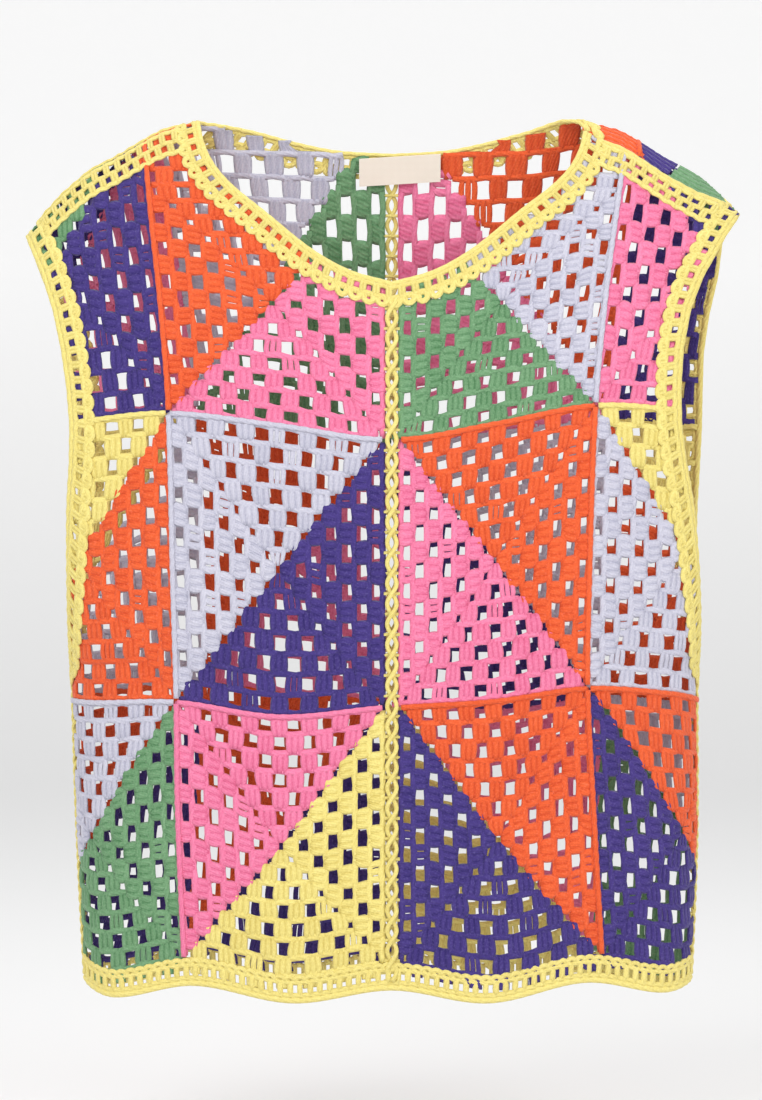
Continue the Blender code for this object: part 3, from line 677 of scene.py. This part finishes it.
def squareLoops(panel, hand, column, row, sides, outline):
    # the chain that closes each round, on which the next one stands
    style = squareStyle
    rounds = style["rounds"]
    batches = []
    for side in sides:
        extra = extraRows(panel, side, row, column)
        upright = side in ("inner", "outer")
        perUnit = style["unitAcross"] if upright else style["unitDown"]
        for ringIndex in range(1, rounds + 1 + extra):
            reach = ringIndex / rounds
            low = high = min(reach, 1.0)
            # the end at the other colour's corner stops short of it
            if side in ("top", "inner"):
                low -= style["loopShort"]
            else:
                high -= style["loopShort"]
            count = 5 * min(ringIndex, rounds) + 1
            along = np.linspace(-low, high, count)
            phase = np.arange(count) / 5 * 2 * np.pi
            last = ringIndex == rounds and not extra
            bow = 0.5 * np.cos(phase) / perUnit
            x, y = onSide(side, along, reach + bow - (0.02 if last else 0.0))
            runs, heights = localToCloth(panel, hand, column, row, x, y)
            inside = insideLine(np.stack([runs, heights], axis=-1), outline)
            inside &= ~underRoll(panel, hand, row, runs, heights, outline)
            for start, end in cutRuns(inside):
                part = slice(start, end)
                centres, normals = panel.place(runs[part], heights[part], 0.2 - 0.5 * np.cos(phase[part]))
                widths = style["loopWide"] * (1 - 0.12 * np.cos(phase[part])) * rng.normal(1, 0.04)
                batches.append(yarnTubes(centres[None], normals[None], widths[None], style["loopThick"]))
    return batches


joinStyle = {"wide": 3.3, "thick": 2.0, "lift": 1.9, "wave": 1.9}


def joinRidge(panel, along, line, outline):
    runs, heights = squareToCloth(panel, along, line)
    inside = insideLine(np.stack([runs, heights], axis=-1), outline)
    batches = []
    for start, end in cutRuns(inside):
        part = slice(start, end)
        wave = np.arange(end - start) * joinStyle["wave"]
        lift = joinStyle["lift"] + 0.25 * np.sin(wave)
        centres, normals = panel.place(runs[part], heights[part], lift)
        widths = joinStyle["wide"] + 0.3 * np.sin(wave + 1)
        batches.append(yarnTubes(centres[None], normals[None], widths[None], joinStyle["thick"]))
    return batches


rollStyle = {"rows": 5, "spacing": 3.5, "cleared": 16.0,  # in mm along the cloth
             "wide": 3.7, "thick": 2.1, "lift": 0.8, "wave": 1.9}


def topChain(panel, hand, column, row, upper, outline):
    # along the cloth's top edge, on the stretch that belongs to this half
    xs, ys = np.meshgrid(np.linspace(-1, 1, 81), np.linspace(-1.6, 1, 106))
    runs, heights = localToCloth(panel, hand, column, row, xs, ys)
    crest = evenLine(outline[crestPart], 90)
    batches = []
    # where the back rolls over the right shoulder, more rows lie side by side
    for step in range(rollRows(panel, hand)):
        ridge = belowCrest(panel, crest, rollStyle["spacing"] * step)
        own = ownPart(ridge, runs, heights, (ys <= xs) == upper)
        if step:
            own &= insideLine(ridge, outline)
        batches += chainRow(panel, ridge, own)
    return batches


def rollRows(panel, hand):
    return rollStyle["rows"] if panel is back and hand < 0 else 1


def belowCrest(panel, crest, distance):
    # the points that lie this far below, measured along the cloth
    heights = crest[:, 1, None] - np.linspace(0, 24, 97)
    points = panel.place(np.repeat(crest[:, :1], 97, axis=1), heights)[0]
    steps = np.linalg.norm(np.diff(points, axis=1), axis=-1)
    length = np.concatenate([np.zeros((len(crest), 1)), np.cumsum(steps, axis=1)], axis=1)
    found = [np.interp(distance, *pair) for pair in zip(length, heights)]
    return np.column_stack([crest[:, 0], found])


def underRoll(panel, hand, row, runs, heights, outline):
    # stitches whose place the rows along the shoulder take
    if row or rollRows(panel, hand) == 1:
        return np.zeros(runs.shape, bool)
    crest = outline[ridgePart][np.argsort(outline[ridgePart, 0])]
    limit = belowCrest(panel, crest, rollStyle["cleared"])
    return heights > np.interp(runs, *limit.T)


def ownPart(ridge, runs, heights, half):
    gap = np.hypot(ridge[:, 0, None] - runs.ravel(), ridge[:, 1, None] - heights.ravel())
    nearest = gap.argmin(axis=1)
    return (gap.min(axis=1) < 2.5) & half.ravel()[nearest]


def chainRow(panel, ridge, own):
    batches = []
    for start, end in cutRuns(own):
        part = slice(start, end)
        centres, normals = panel.place(ridge[part, 0], ridge[part, 1], rollStyle["lift"])
        wavy = np.sin(np.arange(end - start) * rollStyle["wave"])[None]
        batches.append(yarnTubes(centres[None], normals[None], rollStyle["wide"] + 0.2 * wavy,
                                 rollStyle["thick"] + 0.15 * wavy))
    return batches


def halfSquare(panel, hand, column, row, upper, outline):
    sides = ("top", "outer") if upper else ("bottom", "inner")
    batches = squareClusters(panel, hand, column, row, sides, outline)
    batches += squareLoops(panel, hand, column, row, sides, outline)
    if row == 0:
        batches += topChain(panel, hand, column, row, upper, outline)
    if upper and row:
        along = hand * (column + np.linspace(0.01, 0.99, 57))
        batches += joinRidge(panel, along, np.full(57, row + 0.004), outline)
    if upper and column == 0:
        line = np.linspace(-0.6 if row == 0 else row + 0.01, row + 0.99, 70)
        batches += joinRidge(panel, np.full(70, hand * 0.996), line, outline)
    return batches


def flatSize(panel, hand, column, row, upper, outline):
    # width, length and area of a half square laid flat, as far as the garment's edges leave it
    top = -1.6 if row == 0 and column == 0 and upper and panel is front else -1.0
    xs, ys = np.meshgrid(np.linspace(-1, 1, 81), np.linspace(top, 1, 91))
    runs, heights = localToCloth(panel, hand, column, row, xs, ys)
    points = panel.place(runs, heights)[0] * mm
    inside = insideLine(np.stack([runs, heights], axis=-1), outline) & ((ys <= xs) == upper)
    inside = inside[1:, 1:]
    across = (points[1:, 1:] - points[1:, :-1])
    down = (points[1:, 1:] - points[:-1, 1:])
    area = (np.linalg.norm(np.cross(across, down), axis=-1) * inside).sum()
    wide = (np.linalg.norm(across, axis=-1) * inside.any(axis=0)).sum(axis=1).max()
    tall = (np.linalg.norm(down, axis=-1) * inside.any(axis=1)[:, None]).sum(axis=0).max()
    return float(wide), float(tall), float(area)


def addPiece(name, batches, colour, node):
    piece = makePiece(name, batches, yarns[colour])
    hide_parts(node)
    return piece


sheetCuts = {}
for panel in (front, back):
    for hand in (-1, 1):
        outline = halfOutline(panel, hand, 1.4)
        for row in range(3):
            for column in range(2):
                across = column if hand > 0 else -1 - column
                for upper, colour in zip((True, False), squareStyle["colours"][row][across + 2]):
                    node = f"{panel.name}_r{row + 1}c{across + 3}_{colour}"
                    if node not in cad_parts:
                        continue
                    batches = halfSquare(panel, hand, column, row, upper, outline)
                    name = f"{panel.name}R{row + 1}C{across + 3}{colour.capitalize()}"
                    piece = addPiece(name, batches, colour, node)
                    sheetCuts[name] = (piece, flatSize(panel, hand, column, row, upper, outline))
    print(panel.name, "squares crocheted")


# edgings: a strip of cloth between two edges, as a grid of places and normals
class Strip:
    def __init__(self, lanes):
        # lanes run from the opening's edge inward; each is a list of (panel, runs and heights)
        points, normals = [], []
        for lane in lanes:
            pairs = [panel.place(line[:, 0], line[:, 1]) for panel, line in lane]
            points.append(np.concatenate([pair[0] for pair in pairs]))
            normals.append(np.concatenate([pair[1] for pair in pairs]))
        self.points, self.normals = np.array(points), np.array(normals)
        middle = self.points[len(lanes) // 2]
        steps = np.linalg.norm(np.diff(middle, axis=0), axis=1)
        self.length = np.concatenate(([0], np.cumsum(steps)))

    def place(self, along, share, out):
        column = np.interp(along, self.length, np.arange(len(self.length)))
        row = np.asarray(share) * (len(self.points) - 1)
        row, column = np.broadcast_arrays(row, column)
        normal = unit(gridValue(self.normals, np.clip(row, 0, len(self.points) - 1), column))
        return gridValue(self.points, row, column) + normal * np.asarray(out)[..., None], normal


def chainAlong(strip, share, wide, thick, out, pitch, sway, closed):
    whole = strip.length[-1]
    count = max(int(whole / pitch * 4), 8)
    along = np.linspace(0, whole, count + 1)
    if closed:
        along = along[:-1]
    phase = along / pitch * 2 * np.pi
    centres, normals = strip.place(along, share + sway * np.cos(phase), out + 0.25 * np.sin(phase))
    widths = wide * (1 + 0.1 * np.cos(phase))
    return yarnTubes(centres[None], normals[None], widths[None], thick, closed=closed)


def edgingStitches(strip, style, closed=False):
    whole = strip.length[-1]
    count = max(int(round(whole / style["pitch"])), 2)
    pitch = whole / count
    batches = []
    for share, wide, thick, lift, sway in style["chains"]:
        batches.append(chainAlong(strip, share, wide, thick, style["out"] + lift, pitch, sway, closed))
    for low, high, shift, spread, wide, thick, ribs in style["posts"]:
        starts = (np.arange(count) + shift) * pitch
        offsets = np.array(spread) * pitch
        along = (starts[:, None] + offsets[None]).ravel()
        along = along + rng.normal(0, 0.15, along.shape)
        kept = (along > 0.8) & (along < whole - 0.8) if not closed else np.ones(len(along), bool)
        along = along[kept]
        shares = np.tile(np.linspace(low, high, 4), (len(along), 1))
        centres, normals = strip.place(np.repeat(along[:, None], 4, axis=1) % whole, shares,
                                       style["out"] + np.array((-0.2, 0.3, 0.3, -0.2)))
        widths = wide * np.array((0.8, 1.0, 1.0, 0.8)) * rng.normal(1, 0.05, (len(along), 1))
        batches.append(yarnTubes(centres, normals, widths, thick, ribProfile(ribs) if ribs else 6))
    for shift, half, foot, top, wide, thick in style["shells"]:
        # one arch for each stitch, standing on the chain
        starts = (np.arange(count) + shift) * pitch
        turn = np.linspace(-0.04, 1.04, 8) * np.pi
        along = starts[:, None] - np.cos(turn)[None] * pitch * half
        share = foot + np.sin(turn)[None] * (top - foot) * rng.normal(1, 0.05, (count, 1))
        centres, normals = strip.place(along % whole if closed else np.clip(along, 0, whole), share,
                                       style["out"] + 0.3 * np.sin(turn)[None] + np.zeros((count, 1)))
        batches.append(yarnTubes(centres, normals, wide * rng.normal(1, 0.05, (count, 1)), thick))
    return batches


# chains: place across the strip, width, thickness, lift, sway
# posts: from and to across, shift, spread, width, thickness, ribs
# shells: shift, half width, foot, top, width, thickness
edgingStyle = {
    "pitch": 8.8, "out": 1.7,
    "chains": [(0.05, 3.6, 3.2, -0.4, 0.01),
               (0.21, 3.0, 2.3, 0.2, 0.01),
               (0.63, 3.2, 2.4, 0.1, 0.02)],
    "posts": [(0.14, 0.68, 0.0, (0.0,), 5.0, 2.4, 2),
              (0.6, 0.98, 0.5, (-0.25, 0.25), 2.5, 2.0, 0),
              (0.62, 0.76, 0.5, (0.0,), 2.6, 2.0, 0)],
    "shells": [(0.5, 0.45, 0.66, 0.98, 3.6, 2.1)],
}

bandShares = np.linspace(0, 1, 5)
bandWidth = cloth["bandWidth"]


def neckStrip(panel):
    lanes = []
    for share in bandShares:
        left = neckEdge(panel, -1, share * bandWidth, 0.6)
        right = neckEdge(panel, 1, share * bandWidth, 0.6)
        lanes.append([(panel, np.vstack([left[::-1], right[1:]]))])
    return Strip(lanes)


def armStrip(hand):
    lanes = []
    for share in bandShares:
        near = armEdge(front, hand, share * bandWidth, 0.6)
        far = armEdge(back, -hand, share * bandWidth, 0.6)
        lanes.append([(front, near[::-1]), (back, far[1:])])
    return Strip(lanes)


def shoulderStrip(hand):
    lanes = []
    for drop in np.linspace(0.5, cloth["shoulderBand"], 6):
        neckEnd = neckEdge(front, hand, bandWidth * 0.8, drop)[-1]
        armEnd = armEdge(front, hand, bandWidth * 0.8, drop)[-1]
        runs = np.linspace(neckEnd[0], armEnd[0], 40)
        lanes.append([(front, np.column_stack([runs, heightAtDrop(front, runs, drop)]))])
    return Strip(lanes)


def hemStrip():
    lanes = []
    for share in bandShares[::-1]:
        lane = []
        for panel in (front, back):
            places = np.linspace(-1, 1, 121)
            heights = rowHeight(places * cloth["sidePlace"], np.full(121, 3.0)) - share * cloth["hemBand"]
            runs = places * hemStyle["reach"] * panel.edgeRun(places, heights)
            lane.append((panel, np.column_stack([runs, heights])))
        lanes.append(lane)
    return Strip(lanes)


addPiece("neckBandFront", edgingStitches(neckStrip(front), edgingStyle), "yellow", "neck_band_front")
# the back's rim is finer
thinRim = {**edgingStyle, "chains": [(0.05, 2.4, 2.6, -0.4, 0.01)] + edgingStyle["chains"][1:]}
addPiece("neckBandBack", edgingStitches(neckStrip(back), thinRim), "yellow", "neck_band_back")
armholeStyle = {
    "pitch": 9.8, "out": 1.7,
    "chains": [(0.05, 3.8, 3.2, -0.4, 0.01),
               (0.23, 3.6, 2.4, 0.2, 0.02),
               (0.68, 3.6, 2.4, 0.1, 0.02)],
    "posts": [(0.14, 0.72, 0.0, (0.0,), 5.4, 2.4, 2),
              (0.66, 0.92, 0.5, (0.0,), 5.4, 2.0, 2)],
    "shells": [(0.5, 0.46, 0.7, 0.94, 3.8, 2.1)],
}
for hand, side in ((-1, "Left"), (1, "Right")):
    addPiece("armholeBand" + side, edgingStitches(armStrip(hand), armholeStyle), "yellow",
             "armhole_band_" + side.lower())

shoulderStyle = {
    "pitch": 8.4, "out": 1.9,
    "chains": [(0.03, 3.4, 2.8, -0.2, 0.01),
               (0.18, 3.2, 2.5, 0.1, 0.01),
               (0.56, 3.2, 2.4, 0.1, 0.01),
               (0.96, 3.4, 2.4, 0.0, 0.02)],
    "posts": [(0.12, 0.6, 0.5, (0.0,), 4.6, 2.5, 2),
              (0.52, 1.0, 0.0, (0.0,), 5.0, 2.4, 2)],
    "shells": [],
}
for hand, side in ((-1, "Left"), (1, "Right")):
    addPiece("shoulderBand" + side, edgingStitches(shoulderStrip(hand), shoulderStyle), "yellow",
             "shoulder_band_" + side.lower())

hemStyle = {
    "pitch": 6.4, "out": 0.9, "reach": 0.985,
    "chains": [(0.05, 3.8, 3.2, 0.0, 0.012),
               (0.24, 3.4, 2.6, 0.0, 0.0),
               (0.78, 3.2, 2.4, 0.1, 0.02)],
    "posts": [(0.2, 0.84, 0.5, (0.0,), 3.9, 2.6, 0)],
    "shells": [(0.5, 0.5, 0.84, 1.0, 3.2, 2.4)],
}
addPiece("hemBand", edgingStitches(hemStrip(), hemStyle, closed=True), "yellow", "hem_band")
print("edgings crocheted")

# chains down the middles, and down the sides under the armholes
chainFoot = -560.0
chainStyle = {"eye": 13.2, "sway": 3.0, "wide": 2.8, "thick": 2.5, "lift": 1.9, "cross": 0.9,
              "barHalf": 5.2, "barWide": 1.9, "barThick": 1.7, "barLift": 0.4}


def crossedChain(panel, top, bottom):
    style = chainStyle
    count = int((top - bottom) / style["eye"] * 10)
    heights = np.linspace(bottom, top, count)
    phase = (heights - bottom) / style["eye"] * np.pi
    batches = []
    for turn in (1, -1):
        runs = turn * style["sway"] * np.sin(phase)
        lift = style["lift"] + turn * style["cross"] * np.cos(phase)
        centres, normals = panel.place(runs, heights, lift)
        batches.append(yarnTubes(centres[None], normals[None], style["wide"], style["thick"], 8))
    return batches


barSpots = np.linspace(-1, 1, 5)
for panel in (front, back):
    top = panel.neck[0][1] - 10
    batches = crossedChain(panel, top, chainFoot)
    # short bars that tie the two halves together behind the chain's crossings
    heights = np.arange(chainFoot, top - 4, chainStyle["eye"])
    runs = np.tile(chainStyle["barHalf"] * barSpots, (len(heights), 1))
    centres, normals = panel.place(runs, np.repeat(heights[:, None], 5, axis=1), chainStyle["barLift"])
    batches.append(yarnTubes(centres, normals, chainStyle["barWide"], chainStyle["barThick"], 5))
    addPiece("centreChain" + panel.name.capitalize(), batches, "yellow", "centre_chain_" + panel.name)

sideChainStyle = {"eye": 7.0, "sway": 1.4, "wide": 2.4, "thick": 2.2, "lift": 0.9, "cross": 0.7,
                  "barHalf": 4.0, "barWide": 2.0, "barThick": 1.8, "barLift": -0.3, "barBow": 1.2}
for hand, side in ((-1, "Left"), (1, "Right")):
    style = sideChainStyle
    heights = np.linspace(chainFoot, cloth["underarm"] - 8, 150)
    phase = heights / style["eye"] * np.pi
    batches = []
    for turn in (1, -1):
        reach = turn * style["sway"] * np.sin(phase)
        point, normal = front.place(hand * front.edgeRun(hand, heights), heights,
                                    style["lift"] + turn * style["cross"] * np.cos(phase))
        point = point + np.stack([np.zeros(150), -reach, np.zeros(150)], axis=-1)
        batches.append(yarnTubes(point[None], normal[None], style["wide"], style["thick"]))
    bars = np.arange(chainFoot + 4, cloth["underarm"] - 12, style["eye"])
    base, normal = front.place(hand * front.edgeRun(hand, bars), bars, style["barLift"])
    bow = np.stack([-np.abs(barSpots) ** 2 * hand * style["barBow"], barSpots * style["barHalf"],
                    barSpots * 0], axis=-1)
    batches.append(yarnTubes(base[:, None] + bow[None], np.repeat(normal[:, None], 5, axis=1),
                             style["barWide"], style["barThick"], 5))
    addPiece("sideChain" + side, batches, "yellow", "side_chain_" + side.lower())
print("chains crocheted")

# blank woven label inside the back neck
labelStyle = {"size": (54.0, 18.0), "centre": (5.5, -27.8), "tilt": 0.06, "under": -3.2, "thick": 0.7}


def labelMaterial():
    material, tree, shader = newMaterial("creamWoven")
    where = tree.nodes.new("ShaderNodeTexCoord")
    bands = []
    for axis in ("X", "Z"):
        wave = tree.nodes.new("ShaderNodeTexWave")
        wave.bands_direction = axis
        wave.inputs["Scale"].default_value = 420.0
        tree.links.new(where.outputs["Object"], wave.inputs["Vector"])
        bands.append(wave.outputs["Fac"])
    weave = mathNode(tree, "MULTIPLY", *bands)
    colour = mixColour(tree, "MIX", weave, (0.78, 0.70, 0.60, 1), (0.93, 0.87, 0.78, 1))
    tree.links.new(colour, shader.inputs["Base Color"])
    tree.links.new(mathNode(tree, "MULTIPLY_ADD", weave, 0.2, 0.6), shader.inputs["Roughness"])
    addBump(tree, shader, weave, 0.3, 0.0002)
    return material


def buildLabel():
    wide, tall = labelStyle["size"]
    across = np.linspace(-0.5, 0.5, 25)
    down = np.linspace(0.5, -0.5, 11)
    grid = []
    for side in (0.5, -0.5):
        runs = -(labelStyle["centre"][0] + across[None] * wide + down[:, None] * 0)
        heights = labelStyle["centre"][1] + down[:, None] * tall + across[None] * wide * labelStyle["tilt"]
        dent = 0.35 * np.cos(across * 9)[None] * (0.5 - np.abs(down))[:, None]
        out = labelStyle["under"] + side * labelStyle["thick"] + dent
        grid.append(back.place(runs + heights * 0, heights, out)[0])
    points = np.array(grid)
    rows, columns = points.shape[1:3]
    faces = []

    def index(layer, row, column):
        return (layer * rows + row) * columns + column

    for row in range(rows - 1):
        for column in range(columns - 1):
            quad = [(row, column), (row + 1, column), (row + 1, column + 1), (row, column + 1)]
            faces.append([index(0, *corner) for corner in quad])
            faces.append([index(1, *corner) for corner in reversed(quad)])
    rim = [(0, column) for column in range(columns)] + [(row, columns - 1) for row in range(1, rows)]
    rim += [(rows - 1, column) for column in range(columns - 2, -1, -1)]
    rim += [(row, 0) for row in range(rows - 2, 0, -1)]
    for before, after in zip(rim, rim[1:] + rim[:1]):
        faces.append([index(0, *before), index(0, *after), index(1, *after), index(1, *before)])
    mesh = bpy.data.meshes.new("neckLabel")
    mesh.from_pydata([tuple(point * mm) for point in points.reshape(-1, 3)], [], faces)
    mesh.update()
    mesh.shade_smooth()
    mesh.set_sharp_from_angle(angle=math.radians(50))
    mesh.materials.append(labelMaterial())
    piece = newObject("neckLabel", mesh)
    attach(piece, "root")
    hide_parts("neck_label")


buildLabel()
print("label sewn in")

# each half square is a piece of its own; print its flat size and its yarn surface against that area
sheetFill = {"least": 0.32, "given": 0.34}
for name, (piece, (wide, tall, area)) in sheetCuts.items():
    # a piece that fills too little of its rectangle gets a length worked out from its area,
    # which isn't a measured cut length
    if area < sheetFill["least"] * wide * tall:
        tall = area / sheetFill["given"] / wide
    surface = sum(face.area for face in piece.data.polygons) / 2
    size = f"{wide * 1000:.0f} x {tall * 1000:.0f} mm, {area * 1e6:.0f} mm2"
    print(f"{name}: {size}, yarn {surface / area:.2f}")

# studio
studio = {"distance": 3.0, "centre": (-0.007, -0.281), "lens": 148.8, "floor": -0.66,
          "bend": 4.1, "radius": 1.5,  # where the paper turns up behind the object
          "shades": (0.66, 0.94), "rise": 0.9, "glow": 0.19, "room": 0.62,
          # name, place, aim, size and power of each light
          "lights": [("keyLight", (-1.6, -2.6, 1.6), (0, 0, -0.28), 2.4, 55),
                     ("fillLight", (1.9, -2.2, 0.6), (0, 0, -0.28), 2.2, 32),
                     ("topLight", (0.0, 0.6, 2.4), (0, 0.1, -0.3), 2.4, 30)]}


def softLight(name, place, aim, size, power):
    light = bpy.data.lights.new(name, "AREA")
    light.shape, light.size, light.energy = "DISK", size, power
    lamp = newObject(name, light)
    lamp.location = place
    direction = np.array(aim) - np.array(place)
    yaw = math.atan2(direction[1], direction[0]) - math.pi / 2
    pitch = math.atan2(direction[2], math.hypot(direction[0], direction[1])) + math.pi / 2
    lamp.rotation_euler = (pitch, 0, yaw)


def buildStudio():
    level = studio["floor"]
    bend, radius = studio["bend"], studio["radius"]
    profile = [(-12.0, level), (bend, level)]
    profile += [(bend + radius * math.sin(angle), level + radius - radius * math.cos(angle))
                for angle in np.linspace(0.1, math.pi / 2, 14)]
    profile.append((bend + radius, 6.0))
    points = [(x, y, z) for y, z in profile for x in (-6.0, 6.0)]
    faces = [(2 * step, 2 * step + 1, 2 * step + 3, 2 * step + 2) for step in range(len(profile) - 1)]
    mesh = bpy.data.meshes.new("paleFloor")
    mesh.from_pydata(points, [], faces)
    mesh.shade_smooth()
    material, tree, shader = newMaterial("palePaper")
    # a little darker on the floor, where more light falls
    where = tree.nodes.new("ShaderNodeNewGeometry")
    split = tree.nodes.new("ShaderNodeSeparateXYZ")
    ramp = tree.nodes.new("ShaderNodeMapRange")
    low, high = studio["shades"]
    for socket, value in (("From Min", level), ("From Max", level + studio["rise"]),
                          ("To Min", low), ("To Max", high)):
        ramp.inputs[socket].default_value = value
    tree.links.new(where.outputs["Position"], split.inputs[0])
    tree.links.new(split.outputs[2], ramp.inputs["Value"])
    tree.links.new(ramp.outputs[0], shader.inputs["Base Color"])
    shader.inputs["Roughness"].default_value = 0.95
    shader.inputs["Emission Color"].default_value = (1, 1, 1, 1)
    shader.inputs["Emission Strength"].default_value = studio["glow"]
    mesh.materials.append(material)
    floor = newObject("paleFloor", mesh)
    for light in studio["lights"]:
        softLight(*light)
    world = bpy.data.worlds.new("paleRoom")
    world.use_nodes = True
    world.node_tree.nodes["Background"].inputs["Color"].default_value = (1, 1, 1, 1)
    world.node_tree.nodes["Background"].inputs["Strength"].default_value = studio["room"]
    bpy.context.scene.world = world
    camera = bpy.data.cameras.new("photoCamera")
    camera.sensor_fit, camera.sensor_height, camera.lens = "VERTICAL", 36.0, studio["lens"]
    seen = newObject("photoCamera", camera)
    seen.location = (studio["centre"][0], -studio["distance"], studio["centre"][1])
    seen.rotation_euler = (math.pi / 2, 0, 0)
    bpy.context.scene.camera = seen


buildStudio()
bpy.context.scene.view_settings.view_transform = "Standard"
meshes = [item.data for item in bpy.context.scene.objects if item.type == "MESH" and not item.hide_render]
triangles = sum(len(face.vertices) - 2 for mesh in meshes for face in mesh.polygons)
print("studio set,", triangles, "triangles")
